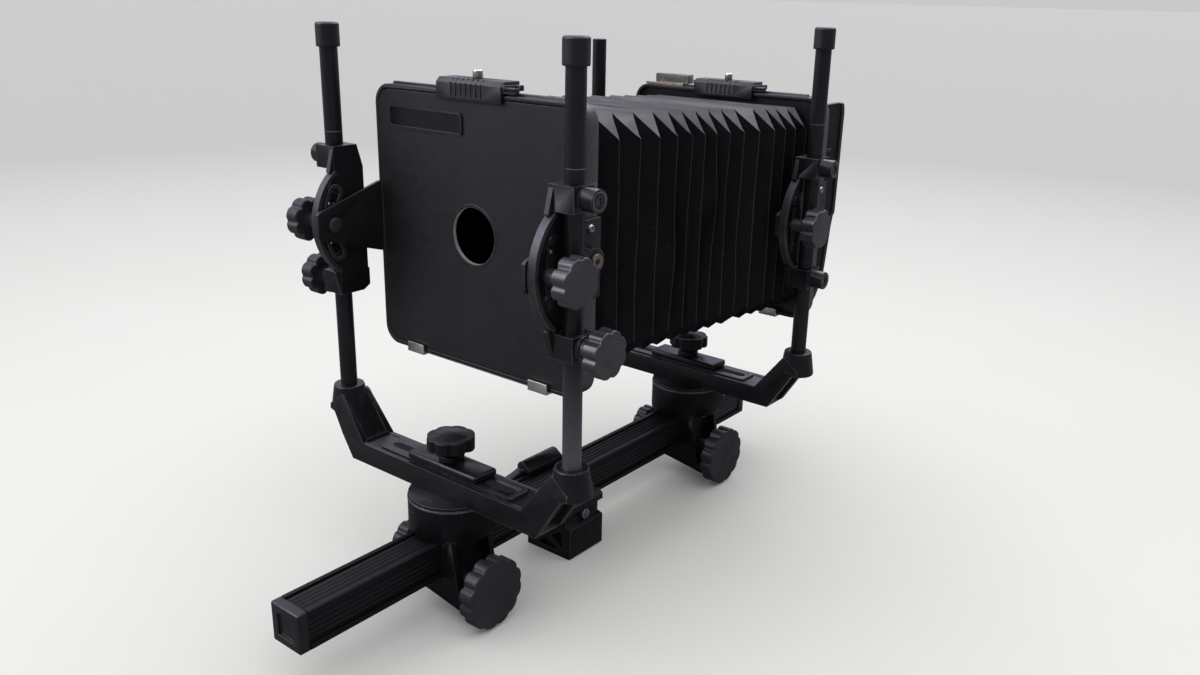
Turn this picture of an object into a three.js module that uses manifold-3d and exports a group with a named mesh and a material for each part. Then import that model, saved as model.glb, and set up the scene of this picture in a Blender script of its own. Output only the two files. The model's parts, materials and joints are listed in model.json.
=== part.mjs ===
// A monorail view camera: two standards on a square rail, joined by a bellows.
// Millimetres, +Z up. The lens looks along -Y, and +X is on the right of someone facing the lens.
// The origin is straight under the rail's centreline, on the tripod block's underside, halfway
// along the block.
import * as THREE from 'three';
import { mergeVertices } from 'three/addons/utils/BufferGeometryUtils.js';
import Module from 'manifold-3d';

const wasm = await Module();
wasm.setup();

// ---- Driving dimensions -------------------------------------------------------------------
const GAP = 0.3; // running clearance between neighbours
const RAIL = { z: 40, half: 12.5, front: -224.2, rear: 236.4, cap: 7, lip: 3.6, groove: 1.2 };
const RACK = { module: 1.5, teeth: 7, top: -7.6, halfWidth: 4.3, front: -212, rear: 207 };
const PINION = { y: -10, z: -15.6, halfWidth: 4, shaft: 2.6 };
const ROD = { x: 97.7, radius: 5.45, foot: 66.9, joint: 249.8 };
const DRUM = { radius: 28, bottom: 12.9, top: 34.7 };
const U_FRAME = {
  bottom: 36.9, bar: 50.8, pad: 51.8, halfDepth: 12.8, flange: 3.2, socket: 82.7,
  coneFoot: 65.5, coneTop: 9.8, coneBase: 12.2, armInside: 8.4, armTop: 10.8,
};
const BLOCK = { inner: 88, outer: 104.6, half: 9, near: 33, far: 47 };
const TILT = { y: 26, bolt: -14, slot: 28, boltRadius: 2.4 };
const FRAME = { half: 83.9, depth: 13.4, corner: 12, opening: 68 };
const BOARD = { half: 81, thickness: 2.4, hole: 17.35, rim: 19.2, rimHeight: 0.3 };
const BELLOWS = { pleats: 15, ridge: 75, valley: 66, straight: 61.5, wall: 1.4 };

const STANDARDS = {
  front: { y: -97.5, lift: 194.8, frame: 22.6, rodTops: { left: 307.5, right: 307.5 } },
  rear: { y: 163.7, lift: 180, frame: 31.5, rodTops: { left: 298.5, right: 307.5 } },
};

// ---- Materials ----------------------------------------------------------------------------
const finish = (color, roughness, metalness) =>
  new THREE.MeshStandardMaterial({ color, roughness, metalness });
const anodised = finish(0x1b1c1f, 0.42, 0.6);
const enamel = finish(0x202124, 0.55, 0.2);
const plastic = finish(0x1a1a1c, 0.6, 0);
const panelBlack = finish(0x141416, 0.65, 0);
const cloth = finish(0x1a1a1d, 0.8, 0);
const nickel = finish(0xb9b4a6, 0.3, 1);
const steel = finish(0x8d8f93, 0.35, 1);
const acrylic = finish(0xc9ccb4, 0.1, 0);
const glass = finish(0xd5dbdc, 0.5, 0);

// ---- Solids -------------------------------------------------------------------------------
function toSolid(geometry) {
  const bare = geometry.clone();
  bare.deleteAttribute('normal');
  bare.deleteAttribute('uv');
  const merged = mergeVertices(bare, 1e-4);
  return new wasm.Manifold(new wasm.Mesh({
    numProp: 3,
    vertProperties: new Float32Array(merged.attributes.position.array),
    triVerts: new Uint32Array(merged.index.array),
  }));
}

function toGeometry(solid) {
  const mesh = solid.getMesh();
  const geometry = new THREE.BufferGeometry();
  geometry.setAttribute('position', new THREE.BufferAttribute(mesh.vertProperties, 3));
  geometry.setIndex(new THREE.BufferAttribute(mesh.triVerts, 1));
  geometry.computeVertexNormals();
  return geometry;
}

// Joins the added shapes into one solid, then cuts the removed ones out of it.
function carve(added, removed = []) {
  const joined = added.map(toSolid).reduce((whole, piece) => whole.add(piece));
  const cut = removed.map(toSolid).reduce((whole, tool) => whole.subtract(tool), joined);
  return toGeometry(cut);
}

function mirrored(geometry) {
  const copy = geometry.clone().scale(-1, 1, 1);
  const corners = copy.index.array;
  for (let i = 0; i < corners.length; i += 3) {
    [corners[i], corners[i + 1]] = [corners[i + 1], corners[i]];
  }
  copy.computeVertexNormals();
  return copy;
}

// ---- Shapes -------------------------------------------------------------------------------
function box(x0, x1, y0, y1, z0, z1) {
  const geometry = new THREE.BoxGeometry(x1 - x0, y1 - y0, z1 - z0);
  return geometry.translate((x0 + x1) / 2, (y0 + y1) / 2, (z0 + z1) / 2);
}

const outline = (points) => new THREE.Shape(points.map(([u, v]) => new THREE.Vector2(u, v)));

const AXES = {
  x: [new THREE.Vector3(0, 1, 0), new THREE.Vector3(0, 0, 1), new THREE.Vector3(1, 0, 0)],
  y: [new THREE.Vector3(1, 0, 0), new THREE.Vector3(0, 0, 1), new THREE.Vector3(0, -1, 0)],
  z: [new THREE.Vector3(1, 0, 0), new THREE.Vector3(0, 1, 0), new THREE.Vector3(0, 0, 1)],
};

// Extrudes an outline from low to high along an axis. An outline for x is drawn in y and z,
// one for y in x and z, and one for z in x and y.
function prism(axis, shape, low, high, bevel = 0, curveSegments = 4) {
  const geometry = new THREE.ExtrudeGeometry(shape, {
    depth: high - low - 2 * bevel,
    bevelEnabled: bevel > 0,
    bevelSize: bevel,
    bevelThickness: bevel,
    bevelOffset: -bevel,
    bevelSegments: 1,
    curveSegments,
  });
  geometry.applyMatrix4(new THREE.Matrix4().makeBasis(...AXES[axis]));
  const start = axis === 'y' ? -high + bevel : low + bevel;
  const shift = AXES[axis][2].clone().multiplyScalar(start);
  return geometry.translate(shift.x, shift.y, shift.z);
}

// A disc or shaft along an axis; u and v are its centre in the plane across that axis.
function round(axis, radius, low, high, u = 0, v = 0, sides = 20) {
  const ring = [];
  for (let i = 0; i < sides; i += 1) {
    const angle = (i / sides) * 2 * Math.PI;
    ring.push([u + radius * Math.cos(angle), v + radius * Math.sin(angle)]);
  }
  return prism(axis, outline(ring), low, high);
}

// A square with rounded corners, centred on (u, v).
function roundedSquare(halfU, halfV, corner, u = 0, v = 0) {
  const shape = new THREE.Shape();
  shape.moveTo(u - halfU + corner, v - halfV);
  shape.lineTo(u + halfU - corner, v - halfV);
  shape.absarc(u + halfU - corner, v - halfV + corner, corner, -Math.PI / 2, 0);
  shape.lineTo(u + halfU, v + halfV - corner);
  shape.absarc(u + halfU - corner, v + halfV - corner, corner, 0, Math.PI / 2);
  shape.lineTo(u - halfU + corner, v + halfV);
  shape.absarc(u - halfU + corner, v + halfV - corner, corner, Math.PI / 2, Math.PI);
  shape.lineTo(u - halfU, v - halfV + corner);
  shape.absarc(u - halfU + corner, v - halfV + corner, corner, Math.PI, 1.5 * Math.PI);
  return shape;
}

// A band between two radii about (u, v), from one angle to the other.
function band(inner, outer, from, to, steps, u, v) {
  const points = [];
  const at = (radius, angle) => [u + radius * Math.cos(angle), v + radius * Math.sin(angle)];
  for (let i = 0; i <= steps; i += 1) points.push(at(outer, from + ((to - from) * i) / steps));
  for (let i = steps; i >= 0; i -= 1) points.push(at(inner, from + ((to - from) * i) / steps));
  return outline(points);
}

// The scalloped outline of a moulded grip.
function lobed(radius, depth, lobes, steps) {
  const points = [];
  for (let i = 0; i < lobes * steps; i += 1) {
    const angle = (i / (lobes * steps)) * 2 * Math.PI;
    const dip = 0.5 - 0.5 * Math.cos(lobes * angle);
    const reach = radius - depth * (1 - dip ** 0.6);
    points.push([reach * Math.cos(angle), reach * Math.sin(angle)]);
  }
  return outline(points);
}

// A lobed hand knob on the x axis: grip, collar, then a screw shaft reaching back to tip.
function knob({ radius, depth, lobes, steps, back, face, collar, collarBack, shaft, tip }) {
  return carve([
    prism('x', lobed(radius, depth, lobes, steps), back, face),
    round('x', collar, collarBack, back + 1, 0, 0, 12),
    round('x', shaft, tip, collarBack + 1, 0, 0, 8),
  ]);
}

function mesh(name, geometry, material, x = 0, y = 0, z = 0) {
  const piece = new THREE.Mesh(geometry, material);
  piece.name = name;
  piece.position.set(x, y, z);
  return piece;
}

// ---- Rail ---------------------------------------------------------------------------------
// One face of the rail from its left lip to its right lip, with a ribbed channel between.
function railFace() {
  const { half, lip, groove } = RAIL;
  const inner = half - lip;
  const floor = half - groove;
  const points = [[-half + 0.7, half], [-inner, half], [-inner, half - 2.6], [-inner + 1, half - 2.6]];
  points.push([-inner + 1, floor]);
  for (const rib of [-4.8, -1.6, 1.6, 4.8]) {
    points.push([rib - 0.6, floor], [rib, floor + 0.6], [rib + 0.6, floor]);
  }
  points.push([inner - 1, floor], [inner - 1, half - 2.6], [inner, half - 2.6], [inner, half]);
  points.push([half - 0.7, half]);
  return points;
}

// The lower face holds the rack in a plain deep channel.
function rackFace() {
  const { half } = RAIL;
  const side = RACK.halfWidth + 0.5;
  const lower = [[half - 0.7, -half], [side, -half], [side, RACK.top], [-side, RACK.top]];
  lower.push([-side, -half], [-half + 0.7, -half]);
  return lower;
}

function monorail() {
  const face = railFace();
  const right = face.map(([u, v]) => [v, -u]);
  const left = face.map(([u, v]) => [-v, u]);
  const section = outline([...face, ...right, ...rackFace(), ...left]);
  const bore = outline([[-8, -6.2], [8, -6.2], [8, 8], [-8, 8]]);
  section.holes.push(bore);
  return prism('y', section, RAIL.front + RAIL.cap, RAIL.rear - RAIL.cap);
}

// A moulded end cap: a bevelled face with a square recess, and a plug inside the rail.
function railCap() {
  const { half, cap } = RAIL;
  const face = prism('y', roundedSquare(half, half, 1.2), 0, cap - 0.05, 0.8, 1);
  const plug = box(-7.7, 7.7, cap - 1, cap + 9, -5.9, 7.7);
  const recess = box(-7, 7, -1, 1.6, -7, 7);
  return carve([face, plug], [recess]);
}

// The rack's teeth point down, so that a tooth space of both pinions is over their axes.
const PITCH = Math.PI * RACK.module;
const PITCH_RADIUS = (RACK.module * RACK.teeth) / 2;

function focusRack() {
  const pitchLine = PINION.z + PITCH_RADIUS;
  const tip = pitchLine - 1.25;
  const root = pitchLine + 1.4;
  const points = [[RACK.front, RACK.top - 0.05], [RACK.front, root]];
  const spaceAt = STANDARDS.front.y + PINION.y;
  const first = Math.ceil((RACK.front - spaceAt) / PITCH + 0.1);
  for (let tooth = first; ; tooth += 1) {
    const middle = spaceAt + (tooth + 0.5) * PITCH;
    if (middle + 1.4 > RACK.rear) break;
    points.push([middle - 1.3, root], [middle - 0.4, tip], [middle + 0.4, tip], [middle + 1.3, root]);
  }
  points.push([RACK.rear, root], [RACK.rear, RACK.top - 0.05]);
  return prism('x', outline(points.reverse()), -RACK.halfWidth, RACK.halfWidth);
}

// ---- Tripod block -------------------------------------------------------------------------
const TRIPOD = { half: 17.5, right: 30, left: -12.5, bottom: -40, top: 2, screw: -10.8 };

// A block under the rail, with a notched right cheek and cross-ribbed front and rear faces.
function tripodBlock() {
  const { half, right, left, bottom, top } = TRIPOD;
  const body = outline([
    [left, -RAIL.half - 0.1], [left, bottom + 8], [left + 3, bottom + 8], [left + 3, bottom],
    [right - 1, bottom], [right, bottom + 1], [right, -17], [25.5, -15.5], [25.5, -6.6], [right, -5.1],
    [right, top - 3], [right - 3, top], [RAIL.half + 0.1, top], [RAIL.half + 0.1, -RAIL.half - 0.1],
  ]);
  const pockets = [];
  const low = bottom + 3;
  const high = -16;
  const near = left + 6;
  const far = right - 6;
  const middle = [(near + far) / 2, (low + high) / 2];
  const corners = [[near, low], [far, low], [far, high], [near, high]];
  const rib = 1.6;
  corners.forEach((corner, i) => {
    const next = corners[(i + 1) % 4];
    const triangle = [corner, next, middle];
    const centre = [0, 1].map((k) => (corner[k] + next[k] + middle[k]) / 3);
    const shrunk = triangle.map((p) => p.map((value, k) => {
      const step = value - centre[k];
      return centre[k] + step * (1 - (2.2 * rib) / 12);
    }));
    pockets.push(prism('y', outline(shrunk), -half - 1, -half + 5));
    pockets.push(prism('y', outline(shrunk), half - 5, half + 1));
  });
  const socket = round('z', 4.6, bottom - 1, bottom + 12, (left + right) / 2, 0, 16);
  const screwHole = round('x', 2.8, RAIL.half - 1, right + 1, 0, TRIPOD.screw, 12);
  return carve([prism('y', body, -half, half)], [...pockets, socket, screwHole]);
}

// The hooked jaw on the rail's left side, with a long curved foot towards the front.
function tripodJaw() {
  const { half } = TRIPOD;
  const flank = new THREE.Shape();
  flank.moveTo(half, -20);
  flank.lineTo(half, 17);
  flank.lineTo(-half, 17);
  flank.lineTo(-half, 15.6);
  flank.quadraticCurveTo(-half - 8, 13.4, -half - 17, 13);
  flank.lineTo(-half - 20, 10);
  flank.lineTo(-half - 8, -20);
  const wall = prism('x', flank, -19.5, -13.1, 0, 5);
  const hook = prism('y', outline([
    [-19.5, 13.1], [-19.5, 17.6], [-18.6, 19.8], [-16.6, 21], [-13.6, 20.9], [-7.5, 16.4], [-7.5, 13.1],
  ]), -half, half);
  return carve([wall, hook]);
}

function tripodScrew() {
  return carve([
    round('x', 3.8, 25.8, 29.4, 0, 0, 16),
    round('x', 2.4, RAIL.half + 0.1, 26.5, 0, 0, 12),
  ], [box(28.6, 30, -0.6, 0.6, -5, 5)]);
}

// ---- Carriage on the rail -----------------------------------------------------------------
// The drum head, its square right shoulder and the jaws that wrap the rail.
const LOCK = { y: -4, z: -11 };

function railClamp() {
  const { radius, bottom, top } = DRUM;
  const drum = round('z', radius, bottom, top, 0, 0, 36);
  const shoulder = box(0, radius, 0, 12, bottom + 2, top);
  const jaws = prism('y', outline([
    [-17, bottom + 1], [-17, -19], [-11, -24], [33, -31], [33, -27], [27.8, -25.5],
    [20.6, bottom + 1],
  ]), -22, 12);
  const boss = round('x', 7.5, 12, 34, PINION.y, PINION.z, 14);
  const lockBoss = round('x', 6.8, -23.5, -16, LOCK.y, LOCK.z, 14);
  const pocket = box(16.5, 40, -19, 9, -23, bottom - 0.5);
  const channel = box(-RAIL.half - GAP, RAIL.half + GAP, -30, 30, -RAIL.half - GAP, RAIL.half + GAP);
  const pinionSpace = round('x', 6.5, -5, 5, PINION.y, PINION.z, 14);
  const shaftBore = round('x', PINION.shaft + 0.4, -10, 60, PINION.y, PINION.z, 10);
  const lockBore = round('x', 2.8, -60, -10, LOCK.y, LOCK.z, 10);
  const pivotBore = round('z', 6.3, 20, 60, 0, 0, 14);
  const hollowed = carve([drum, shoulder, jaws], [pocket]);
  return carve(
    [hollowed, boss, lockBoss],
    [channel, pinionSpace, shaftBore, lockBore, pivotBore],
  );
}

// The pinion's first tooth is turned so that it sits in the rack's nearest tooth space.
function focusPinion(standardY) {
  const fromSpace = (standardY - STANDARDS.front.y) / PITCH;
  const offset = (Math.round(fromSpace) - fromSpace) * PITCH;
  const step = (2 * Math.PI) / RACK.teeth;
  const points = [];
  for (let tooth = 0; tooth < RACK.teeth; tooth += 1) {
    const middle = Math.PI / 2 - offset / PITCH_RADIUS + tooth * step;
    for (const [turn, radius] of [[-0.3, 3.7], [-0.07, 6], [0.07, 6], [0.3, 3.7]]) {
      points.push([radius * Math.cos(middle + turn), radius * Math.sin(middle + turn)]);
    }
  }
  return carve([
    prism('x', outline(points), -PINION.halfWidth, PINION.halfWidth),
    round('x', PINION.shaft, -9.5, 37, 0, 0, 10),
  ]);
}

function focusKnob() {
  const grip = prism('x', lobed(23.5, 2.6, 12, 4), 37.2, 48);
  const hub = round('x', 9, 34.4, 38, 0, 0, 14);
  return carve([grip, hub], [round('x', PINION.shaft + 0.2, 30, 38.6, 0, 0, 10)]);
}

function lockKnob() {
  return mirrored(knob({
    radius: 14.6, depth: 2.4, lobes: 8, steps: 3, back: 31, face: 41,
    collar: 5.5, collarBack: 23.8, shaft: 2.5, tip: 12.7,
  }));
}

// The swing disc, with its pivot in the drum and the stud that the shift knob tightens on.
function turntable() {
  const disc = round('z', 27.6, 35, 36.6, 0, 0, 36);
  const pivot = round('z', 6, 22, 35.5, 0, 0, 14);
  const stud = round('z', 3.5, 36, 70, 0, 0, 12);
  return carve([disc, pivot, stud]);
}

// ---- Shift and upright rods ---------------------------------------------------------------
const mirrorPoints = (points) => [...points, ...points.map(([x, z]) => [-x, z]).reverse()];

// The U-shaped casting: front and rear flanges on a central web, a slotted pad, two sockets.
function uFrame() {
  const { bottom, bar, pad, halfDepth, flange, socket } = U_FRAME;
  const { coneFoot, coneTop, coneBase, armInside, armTop } = U_FRAME;
  const edge = mirrorPoints([
    [81.8, bottom], [99.8, coneFoot], [104, coneFoot + 1], [104, 70], [92.7, 79], [90.5, 77.8], [70, bar],
  ]);
  const body = prism('y', outline(edge), -halfDepth, halfDepth);
  const inside = halfDepth - flange;
  const barPocket = outline([[-71, bar + 1], [-69.5, 44], [69.5, 44], [71, bar + 1]]);
  const removed = [prism('y', barPocket, -inside, inside)];
  // Above the bar the arms grow thinner towards their sockets, in front and behind.
  for (const side of [-1, 1]) {
    const taper = [
      [side * (halfDepth + 1), bar], [side * halfDepth, bar + 1], [side * armTop, 80],
      [side * armTop, 92], [side * (halfDepth + 1), 92],
    ];
    removed.push(prism('x', outline(taper), -120, 120));
  }
  const sockets = [];
  for (const side of [-1, 1]) {
    const flip = (points) => outline(points.map(([x, z]) => [side * x, z]));
    const innerFace = [[72.3, 52.2], [89.9, 75.3], [84, 81], [64, 58]];
    const outerChannel = [[78.6, 41], [93, 64.5], [93, 70], [115, 70], [115, 60], [95, 34], [84, 34]];
    removed.push(prism('y', flip(innerFace), -armInside, armInside));
    removed.push(prism('y', flip(outerChannel), -armInside, armInside));
    const cone = new THREE.CylinderGeometry(coneTop, coneBase, socket - coneFoot, 18);
    cone.rotateX(Math.PI / 2).translate(side * ROD.x, 0, (socket + coneFoot) / 2);
    sockets.push(cone);
  }
  const slotPad = prism('z', roundedSquare(57, 8.5, 8.4), 42, pad, 0, 3);
  const hollow = carve([body], removed);
  const bores = [-1, 1].map((side) => round('z', ROD.radius + 0.2, ROD.foot - 0.2, 90, side * ROD.x, 0, 16));
  const slot = prism('z', roundedSquare(26, 4.1, 4), bottom - 1, pad + 1, 0, 3);
  return carve([hollow, slotPad, ...sockets], [...bores, slot]);
}

// The clamp plate that the shift knob presses on the pad.
function shiftPlate() {
  const { pad } = U_FRAME;
  const plate = prism('z', roundedSquare(30, 9.8, 1.5), pad + 0.1, pad + 5.2, 1.2, 1);
  return carve([plate], [round('z', 3.9, pad - 1, pad + 9, 0, 0, 12)]);
}

function shiftKnob() {
  const low = U_FRAME.pad + 5.4;
  const grip = prism('z', lobed(14.6, 2.4, 8, 3), 65, 75);
  const collar = new THREE.CylinderGeometry(5, 6.6, 9, 14);
  collar.rotateX(Math.PI / 2).translate(0, 0, low + 4.5);
  return carve([grip, collar], [round('z', 3.8, low - 1, 71, 0, 0, 12)]);
}

// A rod in two screwed lengths, with a fine groove where they meet.
function rod(top) {
  const { radius, foot, joint } = ROD;
  const profile = [
    [0, foot], [radius, foot], [radius, joint - 0.5], [radius - 0.5, joint],
    [radius, joint + 0.5], [radius, top], [0, top],
  ];
  const lathe = new THREE.LatheGeometry(profile.map(([r, z]) => new THREE.Vector2(r, z)), 16);
  return lathe.rotateX(Math.PI / 2);
}

function rodCap() {
  const profile = [[0, 314.2], [7.15, 314.2], [7.15, 300], [5.8, 300], [5.8, 307.8], [0, 307.8]];
  const points = profile.reverse().map(([r, z]) => new THREE.Vector2(r, z));
  return new THREE.LatheGeometry(points, 16).rotateX(Math.PI / 2);
}

// ---- Rise and tilt ------------------------------------------------------------------------
// The casting on a right-hand rod: two clamp blocks on a web with the tilt quadrant.
function tiltBracket(barrels) {
  const { inner, outer, half, near, far } = BLOCK;
  const rear = half + 4;
  const web = outline([
    [half, far], [-half, far], [-half, near], [-11, 29.5], [-17, 22], [-21, 13], [-22.6, 4],
    [-22.6, -4], [-21, -13], [-17, -22], [-11, -29.5], [-half, -near], [-half, -far], [half, -far],
    [rear + 1, -far + 3], [rear + 1, -near], [rear, -near], [rear, -12], [22, -7], [22, 7],
    [rear, 12], [rear, near],
  ]);
  const pivotBoss = round('x', 7.6, inner - 0.5, inner + 3, TILT.y, 0, 16);
  const added = [prism('x', web, inner - 0.5, inner + 3), pivotBoss];
  const removed = [];
  const rim = band(38.6, 40.9, 0.76 * Math.PI, 1.24 * Math.PI, 8, 16.4, 0);
  added.push(prism('x', rim, inner - 1, inner + 4.2));
  for (const side of [-1, 1]) {
    const low = Math.min(side * near, side * far);
    added.push(box(inner, outer, -half, half, low, low + far - near));
    const middle = side * (near + far) / 2;
    if (barrels.includes(side)) {
      added.push(round('x', 6.3, outer - 1, 114, 0, middle, 14));
      removed.push(round('x', 2.4, 111, 116, 0, middle, 6));
    } else {
      added.push(round('x', 6.6, outer - 1, outer + 1.6, 0, middle, 14));
      removed.push(round('x', 3.1, ROD.x, 120, 0, middle, 8));
    }
  }
  const slotRadius = TILT.y - TILT.bolt;
  const reach = (TILT.slot * Math.PI) / 180;
  const play = TILT.boltRadius + 0.5;
  const [low, high] = [Math.PI - reach, Math.PI + reach];
  const slot = band(slotRadius - play, slotRadius + play, low, high, 8, TILT.y, 0);
  removed.push(prism('x', slot, inner - 3, inner + 9));
  removed.push(round('x', 4.2, inner - 3, inner + 9, TILT.y, 0, 12));
  removed.push(round('z', ROD.radius + 0.3, -60, 60, ROD.x, 0, 16));
  return carve(added, removed);
}

// The three-cornered arm on the frame's side, with the pivot pin riveted in it.
function tiltArm(frameFront) {
  const rear = frameFront + FRAME.depth;
  const plate = outline([
    [rear, 22.8], [frameFront, 22.6], [-24.2, 8.8], [-25.8, 7.2], [-25.8, -7.2], [-24.2, -8.8],
    [frameFront, -22.6], [rear, -22.8],
  ]);
  const pin = round('x', 3.8, 86, 92.2, TILT.y, 0, 12);
  const hole = round('x', TILT.boltRadius + 0.3, 80, 90, TILT.bolt, 0, 10);
  return carve([prism('x', plate, FRAME.half + 0.2, FRAME.half + 2.7), pin], [hole]);
}

function tiltKnob() {
  const bolt = knob({
    radius: 14.6, depth: 2.4, lobes: 8, steps: 3, back: 105, face: 115.5,
    collar: 4.4, collarBack: 92.8, shaft: TILT.boltRadius, tip: 82,
  });
  return carve([bolt, round('x', 4.8, 81.2, 83.8, 0, 0, 12)]);
}

function riseKnob() {
  return knob({
    radius: 14.4, depth: 2.4, lobes: 8, steps: 3, back: 114, face: 124.4,
    collar: 5.8, collarBack: 106.5, shaft: 2.8, tip: 103.8,
  });
}

// ---- Frames -------------------------------------------------------------------------------
// A shallow square frame with a seat for the board and a guide rail for the lock on top.
function plateFrame() {
  const ring = roundedSquare(FRAME.half, FRAME.half, FRAME.corner);
  const seat = roundedSquare(BOARD.half + 0.4, BOARD.half + 0.4, FRAME.corner - 2.6);
  const opening = roundedSquare(FRAME.opening, FRAME.opening, 4);
  const guide = box(-70, 70, 3.1, 6.5, FRAME.half - 1, FRAME.half + 1.6);
  return carve([prism('y', ring, 0, FRAME.depth), guide], [
    prism('y', seat, -1, BOARD.thickness + 0.8),
    prism('y', opening, 0, FRAME.depth + 1, 0, 2),
  ]);
}

// A flat panel with a low flat rim round the hole that the lens is screwed into.
function lensBoard() {
  const panel = roundedSquare(BOARD.half, BOARD.half, FRAME.corner - 3);
  const rim = round('y', BOARD.rim, 0.2 - BOARD.rimHeight, 1, 0, 0, 32);
  const hole = round('y', BOARD.hole, -1, 9, 0, 0, 32);
  return carve([prism('y', panel, 0.2, 0.2 + BOARD.thickness), rim], [hole]);
}

// The blank badge plate in the board's upper left corner, with a raised rim.
function badgePlate() {
  const rim = prism('y', roundedSquare(31.8, 6.6, 2.2), -0.8, 0.15, 0, 2);
  const field = prism('y', roundedSquare(30.6, 5.4, 1.4), -2, -0.35, 0, 2);
  return carve([rim], [field]);
}

// A sliding lock on the frame's top edge, hooked over the front of the board.
function topLock() {
  const section = outline([
    [-2.1, 79.2], [-0.3, 79.2], [-0.3, 84.3], [13.4, 84.3], [13.4, 91.2], [0.6, 91.2], [-2.1, 88.6],
  ]);
  const grooves = [];
  for (let i = 0; i < 7; i += 1) {
    const x = -13.8 + i * 4.05;
    grooves.push(box(x - 0.6, x + 0.6, -3, 16, 90.3, 92));
    grooves.push(box(x - 0.6, x + 0.6, -3, -1.5, 81, 92));
  }
  const guide = box(-40, 40, 2.8, 6.8, 84, 85.9);
  const yoke = box(25, 28, -1.2, 10.6, 86.4, 89.4);
  const frontProng = box(25, 36, -1.2, 2.2, 85, 88.4);
  const prongGroove = box(28, 40, -2, 0.9, 86.2, 87.3);
  const rearProng = box(25, 32, 7.6, 10.6, 86.4, 89.4);
  const stub = box(-30, -25, 3, 9, 86.4, 89.6);
  const body = carve([prism('x', section, -26, 26), yoke, frontProng, rearProng, stub]);
  return carve([body], [...grooves, guide, prongGroove]);
}

function lockStud() {
  const profile = [[0, 91.3], [2.95, 91.3], [2.95, 95.6], [2.3, 96.3], [0, 96.3]];
  const lathe = new THREE.LatheGeometry(profile.map(([r, z]) => new THREE.Vector2(r, z)), 16);
  return lathe.rotateX(Math.PI / 2);
}

// One metal strip under the frame, with two hooks that hold the board's lower edge.
function boardHooks() {
  const strip = box(-60.5, 60.5, 2, 8, -85.5, -84.1);
  const hooks = [-53, 53].flatMap((x) => [
    box(x - 7.5, x + 7.5, -2.2, 3, -85.5, -84.1),
    box(x - 7.5, x + 7.5, -2.2, -0.9, -85.5, -79),
  ]);
  return carve([strip, ...hooks]);
}

// ---- Rear pieces --------------------------------------------------------------------------
// A clear block on the frame's top edge that holds the bubble vial.
const spiritLevel = () => prism('y', roundedSquare(15.5, 3.5, 0.8, -50.5, 89.3), 2.5, 10.5, 0, 2);

// The focusing back: a recessed plate with a deep curved cheek at each side.
function backFrame() {
  const start = FRAME.depth + 0.4;
  const plate = prism('y', roundedSquare(79, 79, 6), start, start + 5);
  const view = prism('y', roundedSquare(62, 50, 3), start - 1, start + 9, 0, 2);
  const seat = prism('y', roundedSquare(66, 54, 2.4), start + 2, start + 9, 0, 2);
  const added = [plate];
  const cheek = new THREE.Shape();
  cheek.moveTo(start, 78);
  cheek.lineTo(start, -79);
  cheek.quadraticCurveTo(start + 18, -66, start + 22, -42);
  cheek.quadraticCurveTo(start + 26, -16, start + 28, -8);
  cheek.lineTo(start + 30.5, -6);
  cheek.lineTo(start + 32, 70);
  cheek.lineTo(start + 29, 78);
  for (const side of [-1, 1]) {
    const x0 = side > 0 ? 75 : -79;
    added.push(prism('x', cheek, x0, x0 + 4, 0, 6));
  }
  for (const z of [-74, 70]) added.push(box(-76, 76, start + 3, start + 12, z, z + 4));
  return carve(added, [view, seat]);
}

const groundGlass = () => prism('y', roundedSquare(65.7, 53.7, 3), 0, 2.4, 0, 2);

// A bowed leaf spring across the back, above or below the glass.
function backSpring() {
  const start = FRAME.depth + 0.4;
  const leaf = new THREE.Shape();
  leaf.moveTo(-72, start + 6);
  leaf.quadraticCurveTo(0, start + 15, 72, start + 6);
  leaf.lineTo(72, start + 6.9);
  leaf.quadraticCurveTo(0, start + 15.9, -72, start + 6.9);
  return prism('z', leaf, -4.5, 4.5, 0, 8);
}

// ---- Bellows ------------------------------------------------------------------------------
// Eight corners of a ring: a side fold and a top fold meet in a small facet at each corner.
function bellowsRing(side, top) {
  const { straight } = BELLOWS;
  const quarter = [[side, -straight], [side, straight], [straight, top], [-straight, top]];
  return [...quarter, ...quarter.map(([x, z]) => [-x, -z])];
}

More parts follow.
